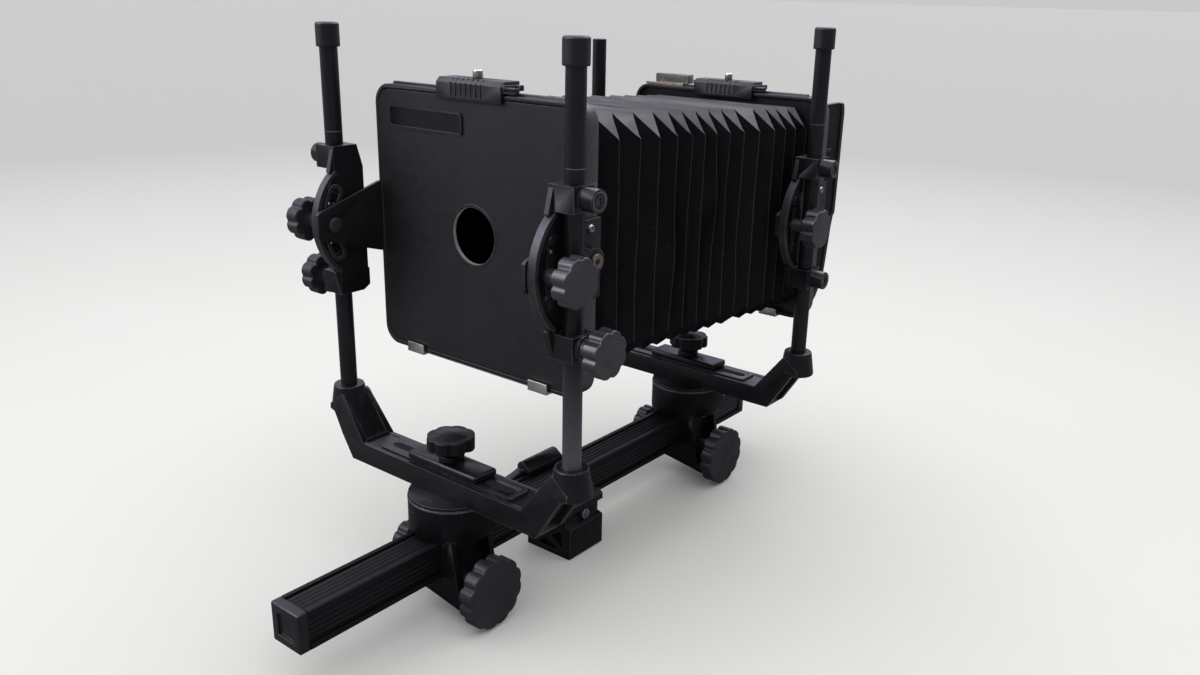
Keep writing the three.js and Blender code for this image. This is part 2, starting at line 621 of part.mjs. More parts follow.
// A closed pleated tube between the frames; its axis drops with the rear frame.
function bellows() {
  const { pleats, ridge, valley, wall } = BELLOWS;
  const start = STANDARDS.front.y + STANDARDS.front.frame + FRAME.depth + 0.4;
  const end = STANDARDS.rear.y + STANDARDS.rear.frame - 0.4;
  const rings = 2 * pleats + 1;
  const skin = (inset) => {
    const points = [];
    for (let i = 0; i < rings; i += 1) {
      const t = i / (rings - 1);
      const even = i % 2 === 0;
      const side = (even ? valley : ridge) - inset;
      const top = (even ? ridge : valley) - inset;
      const drop = RAIL.z + THREE.MathUtils.lerp(STANDARDS.front.lift, STANDARDS.rear.lift, t);
      const y = THREE.MathUtils.lerp(start, end, t);
      for (const [x, z] of bellowsRing(side, top)) points.push([x, y, z + drop]);
    }
    return points;
  };
  const outer = skin(0);
  const inner = skin(wall);
  const corners = [];
  const quad = (a, b, c, d) => corners.push(a, b, c, a, c, d);
  const count = outer.length;
  for (let i = 0; i < rings - 1; i += 1) {
    for (let k = 0; k < 8; k += 1) {
      const [a, b] = [i * 8 + k, i * 8 + ((k + 1) % 8)];
      quad(a, a + 8, b + 8, b);
      quad(count + a, count + b, count + b + 8, count + a + 8);
    }
  }
  const last = (rings - 1) * 8;
  for (let k = 0; k < 8; k += 1) {
    const next = (k + 1) % 8;
    quad(k, next, count + next, count + k);
    quad(last + k, count + last + k, count + last + next, last + next);
  }
  const geometry = new THREE.BufferGeometry();
  const positions = [...outer, ...inner].flat();
  geometry.setAttribute('position', new THREE.Float32BufferAttribute(positions, 3));
  geometry.setIndex(corners);
  geometry.computeVertexNormals();
  return geometry;
}

// ---- Assembly -----------------------------------------------------------------------------
function buildRail() {
  const group = new THREE.Group();
  group.position.z = RAIL.z;
  const rearCap = mesh('rail_cap_rear', railCap(), plastic, 0, RAIL.rear, 0);
  rearCap.rotation.z = Math.PI;
  group.add(
    mesh('monorail', monorail(), anodised),
    mesh('rail_cap_front', railCap(), plastic, 0, RAIL.front, 0),
    rearCap,
    mesh('focus_rack', focusRack(), steel),
    mesh('tripod_block', tripodBlock(), plastic),
    mesh('tripod_jaw', tripodJaw(), plastic),
    mesh('tripod_screw', tripodScrew(), steel, 0, 0, TRIPOD.screw),
  );
  return group;
}

function buildLift(name, { lift, frame }) {
  const group = new THREE.Group();
  group.position.z = lift;
  const bracket = tiltBracket(name === 'rear' ? [-1, 1] : [1]);
  const arm = tiltArm(frame);
  const bolt = tiltKnob();
  const clampMiddle = -(BLOCK.near + BLOCK.far) / 2;
  group.add(
    mesh(`${name}_bracket_right`, bracket, enamel),
    mesh(`${name}_bracket_left`, mirrored(bracket), enamel),
    mesh(`${name}_arm_right`, arm, panelBlack),
    mesh(`${name}_arm_left`, mirrored(arm), panelBlack),
    mesh(`${name}_tilt_knob_right`, bolt, plastic, 0, TILT.bolt, 0),
    mesh(`${name}_tilt_knob_left`, mirrored(bolt), plastic, 0, TILT.bolt, 0),
  );
  if (name === 'front') {
    group.add(
      mesh('front_rise_knob_right', riseKnob(), plastic, 0, 0, clampMiddle),
      mesh('front_rise_knob_left', mirrored(riseKnob()), plastic, 0, 0, clampMiddle),
    );
  }
  const plate = new THREE.Group();
  plate.position.y = frame;
  plate.add(
    mesh(`${name}_frame`, plateFrame(), panelBlack),
    mesh(`${name}_top_lock`, topLock(), plastic),
    mesh(`${name}_lock_stud`, lockStud(), nickel, 0, 6.4, 0),
    mesh(`${name}_board_hooks`, boardHooks(), nickel),
  );
  if (name === 'front') {
    plate.add(
      mesh('lens_board', lensBoard(), panelBlack),
      mesh('badge_plate', badgePlate(), plastic, -38.9, 0, 65.1),
    );
  } else {
    plate.add(
      mesh('spirit_level', spiritLevel(), acrylic),
      mesh('focusing_back', backFrame(), plastic),
      mesh('ground_glass', groundGlass(), glass, 0, FRAME.depth + 2.8, 0),
      mesh('back_spring_upper', backSpring(), steel, 0, 0, 60),
      mesh('back_spring_lower', backSpring(), steel, 0, 0, -60),
    );
  }
  group.add(plate);
  return group;
}

function buildStandard(name, setting) {
  const group = new THREE.Group();
  group.position.set(0, setting.y, RAIL.z);
  group.add(
    mesh(`${name}_rail_clamp`, railClamp(), enamel),
    mesh(`${name}_focus_pinion`, focusPinion(setting.y), steel, 0, PINION.y, PINION.z),
    mesh(`${name}_focus_knob`, focusKnob(), plastic, 0, PINION.y, PINION.z),
    mesh(`${name}_lock_knob`, lockKnob(), plastic, 0, LOCK.y, LOCK.z),
    mesh(`${name}_turntable`, turntable(), enamel),
    mesh(`${name}_u_frame`, uFrame(), enamel),
    mesh(`${name}_shift_plate`, shiftPlate(), plastic),
    mesh(`${name}_shift_knob`, shiftKnob(), plastic),
  );
  for (const [hand, x] of [['left', -ROD.x], ['right', ROD.x]]) {
    const top = setting.rodTops[hand];
    group.add(mesh(`${name}_rod_${hand}`, rod(top), anodised, x));
    if (top > 300) group.add(mesh(`${name}_rod_cap_${hand}`, rodCap(), plastic, x));
  }
  group.add(buildLift(name, setting));
  return group;
}

const camera = new THREE.Group();
camera.add(buildRail(), mesh('bellows', bellows(), cloth));
for (const [name, setting] of Object.entries(STANDARDS)) camera.add(buildStandard(name, setting));

export default camera;
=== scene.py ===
"""The looks of a monorail view camera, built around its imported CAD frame.

Lengths are in millimetres until a mesh is made. +Z is up, the lens looks along -Y, and +X is on
the right of someone who faces the lens.
"""
import json
import math

import bmesh
import bpy
from mathutils import Matrix, Vector, noise


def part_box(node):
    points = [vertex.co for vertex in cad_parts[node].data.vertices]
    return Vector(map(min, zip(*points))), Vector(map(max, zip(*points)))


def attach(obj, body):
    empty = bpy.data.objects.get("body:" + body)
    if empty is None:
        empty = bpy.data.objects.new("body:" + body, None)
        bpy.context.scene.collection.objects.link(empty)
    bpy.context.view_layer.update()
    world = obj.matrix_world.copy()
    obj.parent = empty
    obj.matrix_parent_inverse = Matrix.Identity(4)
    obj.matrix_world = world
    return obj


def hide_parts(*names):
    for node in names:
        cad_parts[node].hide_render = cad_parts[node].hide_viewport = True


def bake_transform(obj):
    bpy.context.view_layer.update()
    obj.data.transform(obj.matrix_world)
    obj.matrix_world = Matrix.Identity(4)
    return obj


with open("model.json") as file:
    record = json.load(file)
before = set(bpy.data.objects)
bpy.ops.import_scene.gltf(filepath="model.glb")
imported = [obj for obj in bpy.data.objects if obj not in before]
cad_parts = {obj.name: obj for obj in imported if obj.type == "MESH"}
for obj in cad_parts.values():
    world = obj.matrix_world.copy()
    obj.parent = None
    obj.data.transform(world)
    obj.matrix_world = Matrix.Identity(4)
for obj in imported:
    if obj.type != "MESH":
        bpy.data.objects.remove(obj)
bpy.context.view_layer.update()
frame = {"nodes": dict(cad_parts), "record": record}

MM = 0.001
SIDES = {"right": 1, "left": -1}
JOINTS = {joint["name"]: joint for joint in frame["record"]["behaviour"]["joints"]}
BODIES = frame["record"]["behaviour"]["bodies"]
BODY_OF = {node: body for body, nodes in BODIES.items() for node in nodes}


def span(node):
    """The lowest and highest corner of a CAD node, in millimetres."""
    low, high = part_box(node)
    return low / MM, high / MM


def joint_at(name):
    """A joint's point, in millimetres."""
    return Vector(JOINTS[name]["pos_m"]) / MM


# ---- Materials ----
LOOKS = {}


def grey(tone):
    """The grey of scratches and pale edges on black coatings, the edges partly abrasion and partly painted
    highlight, with a trace of blue.
    """
    return (tone, tone, tone + 0.005)


class Wiring:
    """Makes and joins shader nodes in one node tree."""

    def __init__(self, tree):
        self.tree = tree

    def node(self, kind, settings=None, inputs=None):
        made = self.tree.nodes.new("ShaderNode" + kind)
        for key, value in (settings or {}).items():
            setattr(made, key, value)
        for key, value in (inputs or {}).items():
            self.feed(made.inputs[key], value)
        return made

    def feed(self, socket, value):
        """Joins a socket to another one, or gives it a fixed value."""
        if isinstance(value, bpy.types.NodeSocket):
            self.tree.links.new(value, socket)
        else:
            socket.default_value = value

    def math(self, operation, a, b, clamp=True):
        return self.node("Math", {"operation": operation, "use_clamp": clamp}, {0: a, 1: b}).outputs[0]

    def along(self, vector, axis):
        """One coordinate of a vector."""
        return self.node("SeparateXYZ", None, {0: vector}).outputs[axis]


class Finish(Wiring):
    """A node material whose patterns are placed in the object's own space, in metres."""

    def __init__(self, name):
        self.name = name
        self.material = bpy.data.materials.new(name)
        self.material.use_nodes = True
        super().__init__(self.material.node_tree)
        self.shader = self.tree.nodes["Principled BSDF"]
        self.place = self.node("TexCoord").outputs["Object"]
        self.normal = None

    def noise(self, size, detail=3.0, stretch=(1, 1, 1)):
        """Noise whose features are about size millimetres, drawn out along an axis by stretch."""
        scale = [1 / (size * MM * amount) for amount in stretch]
        mapped = self.node("Mapping", None, {"Vector": self.place, "Scale": scale})
        inputs = {"Vector": mapped.outputs[0], "Scale": 1.0, "Detail": detail, "Roughness": 0.55}
        return self.node("TexNoise", None, inputs).outputs["Fac"]

    def cells(self, size):
        inputs = {"Vector": self.place, "Scale": 1 / (size * MM)}
        return self.node("TexVoronoi", {"feature": "SMOOTH_F1"}, inputs).outputs["Distance"]

    def remap(self, value, low, high, new_low=0.0, new_high=1.0):
        """Stretches low to high onto new_low to new_high, and holds still outside them."""
        inputs = {"Value": value, "From Min": low, "From Max": high, "To Min": new_low, "To Max": new_high}
        return self.node("MapRange", None, inputs).outputs[0]

    def mix(self, factor, a, b):
        def colour(value):
            return value if isinstance(value, bpy.types.NodeSocket) else (*value, 1)
        inputs = {0: factor, 6: colour(a), 7: colour(b)}
        return self.node("Mix", {"data_type": "RGBA"}, inputs).outputs[2]

    def facing(self):
        """The direction in which the surface faces."""
        return self.node("NewGeometry").outputs["Normal"]

    def edges(self, reach):
        """1 where the surface turns within reach millimetres, and 0 on flat parts."""
        bent = self.node("Bevel", {"samples": 5}, {"Radius": reach * MM}).outputs[0]
        inputs = {0: bent, 1: self.facing()}
        agreement = self.node("VectorMath", {"operation": "DOT_PRODUCT"}, inputs).outputs["Value"]
        return self.remap(agreement, 0.995, 0.82)

    def relief(self, height, depth):
        """Raises the surface by height times depth millimetres, on top of any earlier relief."""
        inputs = {"Height": height, "Distance": depth * MM, "Strength": 1.0}
        if self.normal is not None:
            inputs["Normal"] = self.normal
        self.normal = self.node("Bump", None, inputs).outputs[0]

    def finish(self, **inputs):
        """Feeds the shader and leaves the material in LOOKS under its name."""
        for key, value in inputs.items():
            self.feed(self.shader.inputs[key.replace("_", " ")], value)
        if self.normal is not None:
            self.feed(self.shader.inputs["Normal"], self.normal)
        LOOKS[self.name] = self.material
        return self.material


def black(name, tone, rough, grain, depth, abrasion_and_highlight, scratch_and_edge_tone=grey(0.16), metal=0.0, stretch=(1, 1, 1),
          specular=0.5, reach=0.7, pebble=None, mottle=1.0, side_light_tone=None, low=None):
    """A black coating with grain, cloudy tone, fine scratches, and paler edges that are partly abrasion
    and partly painted highlight.

    Grain, depth, reach and pebble are in millimetres; the edge amount and mottle run from 0 to 1. The side
    tone is a paler tone painted on faces that point to the sides, as painted side light, and low one
    painted on the lowest parts, as a painted reflection of the floor.
    """
    look = Finish(name)
    cloud = look.noise(22, 4, stretch)
    patch = look.noise(5, 5, stretch)
    fine = look.noise(grain, 3, stretch)
    deeper = [c * (1 - 0.28 * mottle) for c in tone]
    lighter = [c * (1 + 0.45 * mottle) + 0.002 * mottle for c in tone]
    colour = look.mix(look.remap(cloud, 0.3, 0.72), deeper, lighter)
    colour = look.mix(look.remap(fine, 0.35, 0.75, 0, 0.35), colour, [c * 1.9 + 0.003 for c in tone])
    # Faces that point to either side are painted paler, in specks: painted side light.
    if side_light_tone:
        sideways = look.math("ABSOLUTE", look.along(look.facing(), "X"), 0.0)
        specks = look.remap(look.noise(1.4, 3), 0.3, 0.6, 0.55, 1.0)
        rubbing_and_side_light = look.math("MULTIPLY", look.remap(sideways, 0.80, 0.97), specks)
        colour = look.mix(rubbing_and_side_light, colour, side_light_tone)
    # Paler towards the bottom, from 0.19 m down to 0.10 m: a painted reflection of the pale floor.
    if low:
        colour = look.mix(look.remap(look.along(look.place, "Z"), 0.19, 0.10), colour, low)
    scratch = look.noise(0.35, 1, (1, 26, 40) if stretch == (1, 1, 1) else stretch)
    scratch_mask = look.math("MULTIPLY", look.remap(scratch, 0.70, 0.78), look.remap(patch, 0.5, 0.7))
    colour = look.mix(look.math("MULTIPLY", scratch_mask, 0.35), colour, scratch_and_edge_tone)
    # Paler edges in patches: partly abrasion, partly a painted highlight on rounded edges.
    abraded_and_lit_edges = look.math("MULTIPLY", look.edges(reach), look.remap(patch, 0.25, 0.62, 0.25, 1.0))
    colour = look.mix(look.math("MULTIPLY", abraded_and_lit_edges, abrasion_and_highlight), colour, scratch_and_edge_tone)
    if pebble:
        look.relief(look.cells(pebble), depth)
    look.relief(fine, depth)
    roughness = look.remap(patch, 0.2, 0.8, max(rough - 0.08, 0.05), rough + 0.1)
    return look.finish(Base_Color=colour, Roughness=roughness, Metallic=metal, Specular_IOR_Level=specular)


def bright(name, tone, rough, dull):
    """Bare or plated metal with fine machining lines and dull patches."""
    look = Finish(name)
    lines = look.noise(0.25, 2, (1, 14, 1))
    patch = look.noise(3.5, 4)
    colour = look.mix(look.remap(patch, 0.35, 0.7), tone, [c * dull for c in tone])
    # Paler edges: partly abrasion, partly a painted highlight.
    abraded_and_lit_edges = look.edges(0.5)
    colour = look.mix(look.math("MULTIPLY", abraded_and_lit_edges, 0.5), colour, [min(c * 1.25, 0.95) for c in tone])
    look.relief(lines, 0.015)
    roughness = look.remap(patch, 0.2, 0.8, rough, rough + 0.16)
    return look.finish(Base_Color=colour, Roughness=roughness, Metallic=1.0)


def bellows_cloth():
    """Coated cloth: fine weave, soft sheen, dust specks, folds pale from rubbing, and upward faces painted
    pale, partly dust and partly painted light from the ceiling.
    """
    look = Finish("bellows_cloth")
    tone = (0.0026, 0.0026, 0.0037)
    fold = look.node("Attribute", {"attribute_name": "fold"}).outputs["Fac"]
    cloud = look.noise(26, 5)
    patch = look.noise(2.6, 5)
    weave = look.noise(0.55, 2)
    colour = look.mix(look.remap(cloud, 0.32, 0.7), [c * 0.7 for c in tone], [c * 1.5 for c in tone])
    colour = look.mix(look.remap(weave, 0.4, 0.75, 0, 0.4), colour, [c * 2.2 for c in tone])
    crest = look.remap(fold, 0.72, 0.98)
    rubbing_and_side_light = look.math("MULTIPLY", crest, look.remap(patch, 0.25, 0.6, 0.35, 1.0))
    colour = look.mix(look.math("MULTIPLY", rubbing_and_side_light, 0.9), colour, (0.050, 0.050, 0.055))
    # Upward faces are painted much paler, mottled by the cloud noise: partly dust, partly painted light
    # from the ceiling.
    upward = look.remap(look.along(look.facing(), "Z"), 0.35, 0.85)
    dust_and_top_light = look.math("MULTIPLY", upward, look.remap(cloud, 0.2, 0.8, 0.5, 1.0))
    colour = look.mix(dust_and_top_light, colour, (0.26, 0.26, 0.28))
    specks = look.remap(look.noise(1.1, 1), 0.80, 0.83)
    colour = look.mix(look.math("MULTIPLY", specks, 0.5), colour, (0.25, 0.25, 0.25))
    look.relief(look.noise(9, 3), 0.35)
    look.relief(weave, 0.05)
    roughness = look.remap(patch, 0.2, 0.8, 0.36, 0.52)
    return look.finish(Base_Color=colour, Roughness=roughness, Specular_IOR_Level=0.2)


def glassy(name, tones, haze, ripple, depth, matt, rough, transmission, ior=1.5):
    """A clear or matted body; haze, ripple and matt are the (size, detail) of its noises."""
    look = Finish(name)
    colour = look.mix(look.remap(look.noise(*haze), 0.3, 0.7), *tones)
    look.relief(look.noise(*ripple), depth)
    look.finish(Base_Color=colour, Roughness=look.remap(look.noise(*matt), *rough),
                Transmission_Weight=transmission, IOR=ior)


def finishes():
    """Makes every finish."""
    ink = (0.0045, 0.0045, 0.0058)
    anodised, drawn = (0.015, 0.015, 0.0185), (1, 1, 24)
    black("anodised_black", anodised, 0.30, 0.5, 0.012, 0.3, metal=0.5, stretch=drawn, mottle=0.35)
    # A copy painted paler low down: painted reflection of the floor.
    black("anodised_worn", anodised, 0.30, 0.5, 0.012, 0.3, metal=0.5, stretch=drawn, mottle=0.35,
          low=(0.15, 0.15, 0.165))
    black("rail_black", (0.004, 0.004, 0.0052), 0.40, 0.5, 0.014, 0.5, grey(0.10), 0.1,
          stretch=(1, 30, 1), reach=0.4, specular=0.18)
    black("black_enamel", (0.005, 0.005, 0.0066), 0.33, 0.75, 0.05, 0.8, grey(0.25),
          specular=0.34, reach=0.45)
    # A darker, less glossy copy of black_enamel for the rail clamps: painted shade.
    black("clamp_enamel", (0.003, 0.003, 0.0042), 0.38, 0.75, 0.05, 0.7, grey(0.15),
          specular=0.15, reach=0.45)
    black("knob_plastic", (0.025, 0.025, 0.029), 0.32, 0.55, 0.035, 0.8, grey(0.20), reach=0.8)
    # A darker, duller copy of knob_plastic: painted shade for the knobs that lie in shade.
    black("wheel_plastic", (0.0185, 0.0185, 0.0225), 0.44, 0.55, 0.035, 0.5, grey(0.13),
          specular=0.25, reach=0.9)
    black("cap_plastic", ink, 0.46, 0.6, 0.03, 0.3, grey(0.08))
    black("block_plastic", (0.0036, 0.0036, 0.0048), 0.40, 0.6, 0.03, 0.8, grey(0.15),
          specular=0.3, reach=0.5)
    black("back_plastic", ink, 0.45, 0.6, 0.03, 0.4, grey(0.10))
    # The frame's sides get a paler tone: painted side light.
    black("frame_black", (0.006, 0.006, 0.0075), 0.48, 0.7, 0.05, 0.35, grey(0.09), pebble=0.8,
          side_light_tone=(0.042, 0.042, 0.046))
    black("board_black", (0.004, 0.004, 0.0052), 0.50, 0.7, 0.03, 0.3, grey(0.07), pebble=0.75)
    bellows_cloth()
    # Strongly paled edges: partly abrasion, partly painted highlight.
    black("abraded_lit_rim_grey", (0.022, 0.022, 0.025), 0.42, 0.4, 0.02, 0.9, (0.34, 0.34, 0.35), 0.3)
    black("gloss_black", (0.005, 0.005, 0.0065), 0.22, 1.2, 0.004, 0.3, grey(0.08), specular=0.4)
    # Paled edges: partly abrasion, partly painted highlight.
    black("abraded_lit_edge_grey", (0.022, 0.022, 0.025), 0.40, 0.5, 0.03, 0.8, (0.20, 0.20, 0.21))
    bright("steel", (0.42, 0.42, 0.43), 0.30, 0.7)
    bright("nickel", (0.66, 0.63, 0.56), 0.24, 0.78)
    bright("brass", (0.40, 0.34, 0.25), 0.42, 0.6)
    glassy("clear_acrylic", ((0.34, 0.35, 0.32), (0.30, 0.31, 0.28)), (4, 3), (0.6, 2), 0.004, (4, 3),
           (0.3, 0.7, 0.08, 0.16), 0.6, 1.49)
    glassy("ground_glass", ((0.62, 0.66, 0.66), (0.72, 0.75, 0.74)), (30, 3), (0.3, 2), 0.02, (0.3, 2),
           (0.3, 0.7, 0.35, 0.55), 0.45)
    glassy("level_vial", ((0.20, 0.25, 0.07), (0.26, 0.31, 0.11)), (3, 2), (0.8, 1), 0.01, (1, 1),
           (0.2, 0.8, 0.08, 0.16), 0.5)
    # A pale grey for the painted highlight inside the lens hole.
    black("hole_highlight_grey", (0.30, 0.30, 0.31), 0.55, 0.3, 0.01, 0.3, (0.5, 0.5, 0.5))
    # A flat dark sheet finish: painted shade, laid where slots and gaps fall in shade.
    black("shade_black", (0.008, 0.008, 0.009), 0.85, 0.4, 0.08, 0.0, specular=0.2)


# ---- Mesh helpers ----
ROUNDED_ANGLE = 38     # edges that turn by more degrees than this are rounded
FLAT_ANGLE = 0.6       # faces that differ by fewer degrees than this are one flat face
WELD_REACH = 0.002
LONGEST_CUT = 0.45     # the most of a straight stretch that one rounded corner takes


def soften(points, radius, steps=4):
    """An open outline with its inner corners rounded."""
    softened = [Vector(points[0])]
    for before, corner, after in zip(points, points[1:], points[2:]):
        corner, before, after = Vector(corner), Vector(before), Vector(after)
        to_before, to_after = before - corner, after - corner
        cut = min(radius, to_before.length * LONGEST_CUT, to_after.length * LONGEST_CUT)
        start = corner + to_before.normalized() * cut
        end = corner + to_after.normalized() * cut
        for i in range(steps + 1):
            t = i / steps
            softened.append((1 - t) ** 2 * start + 2 * t * (1 - t) * corner + t ** 2 * end)
    softened.append(Vector(points[-1]))
    return softened


class Shell:
    """Points and faces of one piece, in millimetres."""

    def __init__(self):
        self.points = []
        self.faces = []

    def loft(self, rings, closed=False):
        """Joins rings of equal length. An open loft gets a flat face at each end."""
        first = len(self.points)
        count = len(rings[0])
        for ring in rings:
            self.points.extend(Vector(point) for point in ring)
        total = len(rings)
        for i in range(total if closed else total - 1):
            near, far = first + i * count, first + ((i + 1) % total) * count
            for k in range(count):
                following = (k + 1) % count
                self.faces.append((near + k, near + following, far + following, far + k))
        if not closed:
            last = first + (total - 1) * count
            self.faces.append(tuple(range(first + count - 1, first - 1, -1)))
            self.faces.append(tuple(range(last, last + count)))
        return self

    def turned(self, profile, steps=48, closed=False):
        """A lathe shape from (radius, height) pairs, about the local z axis."""
        angles = [2 * math.pi * i / steps for i in range(steps)]
        rings = [[(r * math.cos(a), r * math.sin(a), h) for a in angles] for r, h in profile]
        return self.loft(rings, closed)

    def ring(self, profile, steps=48):
        """A closed profile of (radius, height) pairs turned into a ring."""
        return self.turned(profile, steps, closed=True)

    def block(self, low, high):
        """A box between two corners."""
        (x0, y0, z0), (x1, y1, z1) = low, high
        base = [(x0, y0), (x1, y0), (x1, y1), (x0, y1)]
        return self.loft([[(x, y, z) for x, y in base] for z in (z0, z1)])

    def place(self, origin, axis="z", sign=1):
        """Turns the local z axis to lie along sign times the named axis, at origin."""
        turn = Matrix({"x": ((0, 0, sign), (sign, 0, 0), (0, 1, 0)),
                       "y": ((sign, 0, 0), (0, 0, sign), (0, -1, 0)),
                       "z": ((1, 0, 0), (0, sign, 0), (0, 0, sign))}[axis])
        self.points = [turn @ point + Vector(origin) for point in self.points]
        return self


def outward(mesh):
    """Points every face out of its closed shell."""
    made = bmesh.new()
    made.from_mesh(mesh)
    bmesh.ops.recalc_face_normals(made, faces=made.faces)
    made.to_mesh(mesh)
    made.free()


def solid(name, points, faces, look, sharp):
    """A smooth-shaded object whose edges stay sharp where they turn by more than sharp degrees."""
    mesh = bpy.data.meshes.new(name)
    mesh.from_pydata(points, [], faces)
    outward(mesh)
    mesh.polygons.foreach_set("use_smooth", [True] * len(mesh.polygons))
    mesh.set_sharp_from_angle(angle=math.radians(sharp))
    mesh.materials.append(LOOKS[look])
    made = bpy.data.objects.new(name, mesh)
    bpy.context.collection.objects.link(made)
    return made


def piece(name, shell, look, body, replaced=(), bevel=0.0, sharp=35):
    """Makes a shell into a shaded object that rides on a body."""
    made = solid(name, [point * MM for point in shell.points], shell.faces, look, sharp)
    if bevel:
        round_edges(made, bevel)
    made.modifiers.new("flat_faces", "WEIGHTED_NORMAL").keep_sharp = True
    if replaced:
        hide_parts(*replaced)
    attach(made, body)


def round_edges(obj, width):
    """Rounds every edge that turns by more than ROUNDED_ANGLE."""
    rounding = obj.modifiers.new("rounding", "BEVEL")
    rounding.width = width * MM
    rounding.segments = 2
    rounding.limit_method = "ANGLE"
    rounding.angle_limit = math.radians(ROUNDED_ANGLE)
    rounding.harden_normals = True
    rounding.use_clamp_overlap = True


def dress(node, look, bevel=0.3):
    """Keeps a CAD node's shape, rounds its edges and gives it a finish."""
    obj = frame["nodes"][node]
    obj.data.polygons.foreach_set("use_smooth", [True] * len(obj.data.polygons))
    weld = obj.modifiers.new("weld", "WELD")
    weld.merge_threshold = WELD_REACH * MM
    planar = obj.modifiers.new("planar", "DECIMATE")
    planar.decimate_type = "DISSOLVE"
    planar.angle_limit = math.radians(FLAT_ANGLE)
    if node.endswith(("rail_clamp", "top_lock")):
        # Without this the rounding left a stray face across the front clamp's channel, and the rear
        # lock lost area.
        obj.modifiers.new("triangles", "TRIANGULATE")
    if bevel:
        round_edges(obj, bevel)
    for polygon in obj.data.polygons:
        polygon.material_index = 0
    obj.data.materials.clear()
    obj.data.materials.append(LOOKS[look])


def screw(name, origin, axis, sign, radius, body, look="steel", height=1.6):
    """A domed screw head with a round-bottomed drive recess."""
    drive = radius * 0.42
    outline = [(radius, -1.0), (radius, height * 0.45), (radius * 0.72, height), (drive, height),
               (drive, height * 0.35), (0.05, height * 0.2)]
    head = Shell().turned(soften(outline, 0.35, 3), 32).place(origin, axis, sign)
    piece(name, head, look, body)


# ---- Knobs ----
GRIP_ROUNDING = 1.9    # the radius of the grip's edges
GRIP_STEP = 0.12       # how far the rim's inner edge stands above the flat of the face
LOBE_STEPS = 14
# For each kind of knob: the depth of its grip, its finish, the number and depth of its scallops, and
# its stem as (radius, distance behind the face) pairs.
KNOBS = {
    # The focus and lock knobs take the darker copy of the knob plastic: painted shade.
    "focus_knob": (10.8, "wheel_plastic", 12, 2.6, [(9, 9.8), (9, 13.4), (0.4, 13.45)]),
    "lock_knob": (10.0, "wheel_plastic", 8, 2.4,
                  [(5.5, 9), (5.5, 17.2), (2.5, 17.3), (2.5, 28.3), (0.4, 28.3)]),
    "shift_knob": (10.0, "block_plastic", 8, 2.4,
                   [(6.0, 9), (6.2, 13.5), (8.0, 14.2), (8.0, 17.6), (3.6, 17.6)]),
    "tilt_knob": (10.5, "knob_plastic", 8, 2.4,
                  [(5.2, 9.5), (5.2, 13.5), (4.4, 14), (4.4, 22.7), (2.4, 22.7), (2.4, 31.7),
                   (4.8, 31.7), (4.8, 33.4), (3.0, 34.3), (0.4, 34.3)]),
    "rise_knob": (10.4, "knob_plastic", 8, 2.4,
                  [(5.8, 9.4), (5.8, 17.9), (2.8, 17.9), (2.8, 20.6), (0.4, 20.6)]),
}


def lobed_grip(shell, radius, depth, lobes, back, face, crown):
    """The scalloped grip about the local z axis, from its back to its slightly crowned face."""
    thick = face - back
    outline = [(radius - 5.5, back + 0.9), (radius - 2.2, back), (radius, back), (radius, face),
               (radius - 2.6, face), (radius - 5.0, face + GRIP_STEP)]
    steps = lobes * LOBE_STEPS
    rings = []
    for reach, height in soften(outline, min(GRIP_ROUNDING, thick * 0.2), 6):
        fade = max(0.0, 1 - (radius - reach) / 9)
        shallow = 1 - 0.48 * (height - back) / thick
        ring = []
        for i in range(steps):
            angle = 2 * math.pi * i / steps
            swing = 0.5 + 0.5 * math.cos(lobes * angle)
            valley = 0.22 * swing + 0.78 * swing ** 4
            r = reach - depth * valley * fade * shallow
            ring.append((r * math.cos(angle), r * math.sin(angle), height))
        rings.append(ring)
    edge = rings[-1]
    for share in (0.55, 0.25, 0.04):
        lift = GRIP_STEP + (crown - GRIP_STEP) * (1 - share ** 2)
        rings.append([(x * share, y * share, face + lift) for x, y, _ in edge])
    shell.loft(rings)


def knob(node):
    """A hand knob in the place of its CAD node; the ones on the left take a darker copy of the knob
    plastic as painted shade.
    """
    low, high = span(node)
    kind = "_".join(node.split("_")[1:3])
    thick, look, lobes, depth, stem = KNOBS[kind]
    axis, across, along, spread, crown = "x", 1, 0, 1.0, 0.42
    if kind == "shift_knob":
        axis, across, along, spread, crown = "z", 0, 2, 1.11, 1.6
    sign = -1 if kind == "lock_knob" or node.endswith("left") else 1
    # Painted shade: knobs on the left take the darker copy of the knob plastic.
    if node.endswith("left"):
        look = "wheel_plastic"
    radius = (high[across] - low[across]) / 2 * spread
    face = high[along] if sign > 0 else -low[along]
    shell = Shell()
    lobed_grip(shell, radius, depth, lobes, face - thick, face - crown, crown)
    length = high[along] - low[along]
    profile = [(max(r, 0.4), face - back) for r, back in stem if back <= length + 0.01]
    shell.turned(soften(profile[::-1], 0.5, 3), 40)
    origin = (low + high) / 2
    origin[along] = 0
    shell.place(origin, axis, sign)
    piece(node.replace("knob", "handwheel"), shell, look, BODY_OF[node], [node], sharp=50)


def knobs():
    for node in frame["nodes"]:
        if "_knob" in node:
            knob(node)


# ---- Rods and sockets ----
ROD_SEAM = 289.8       # the height of the joint line on each rod


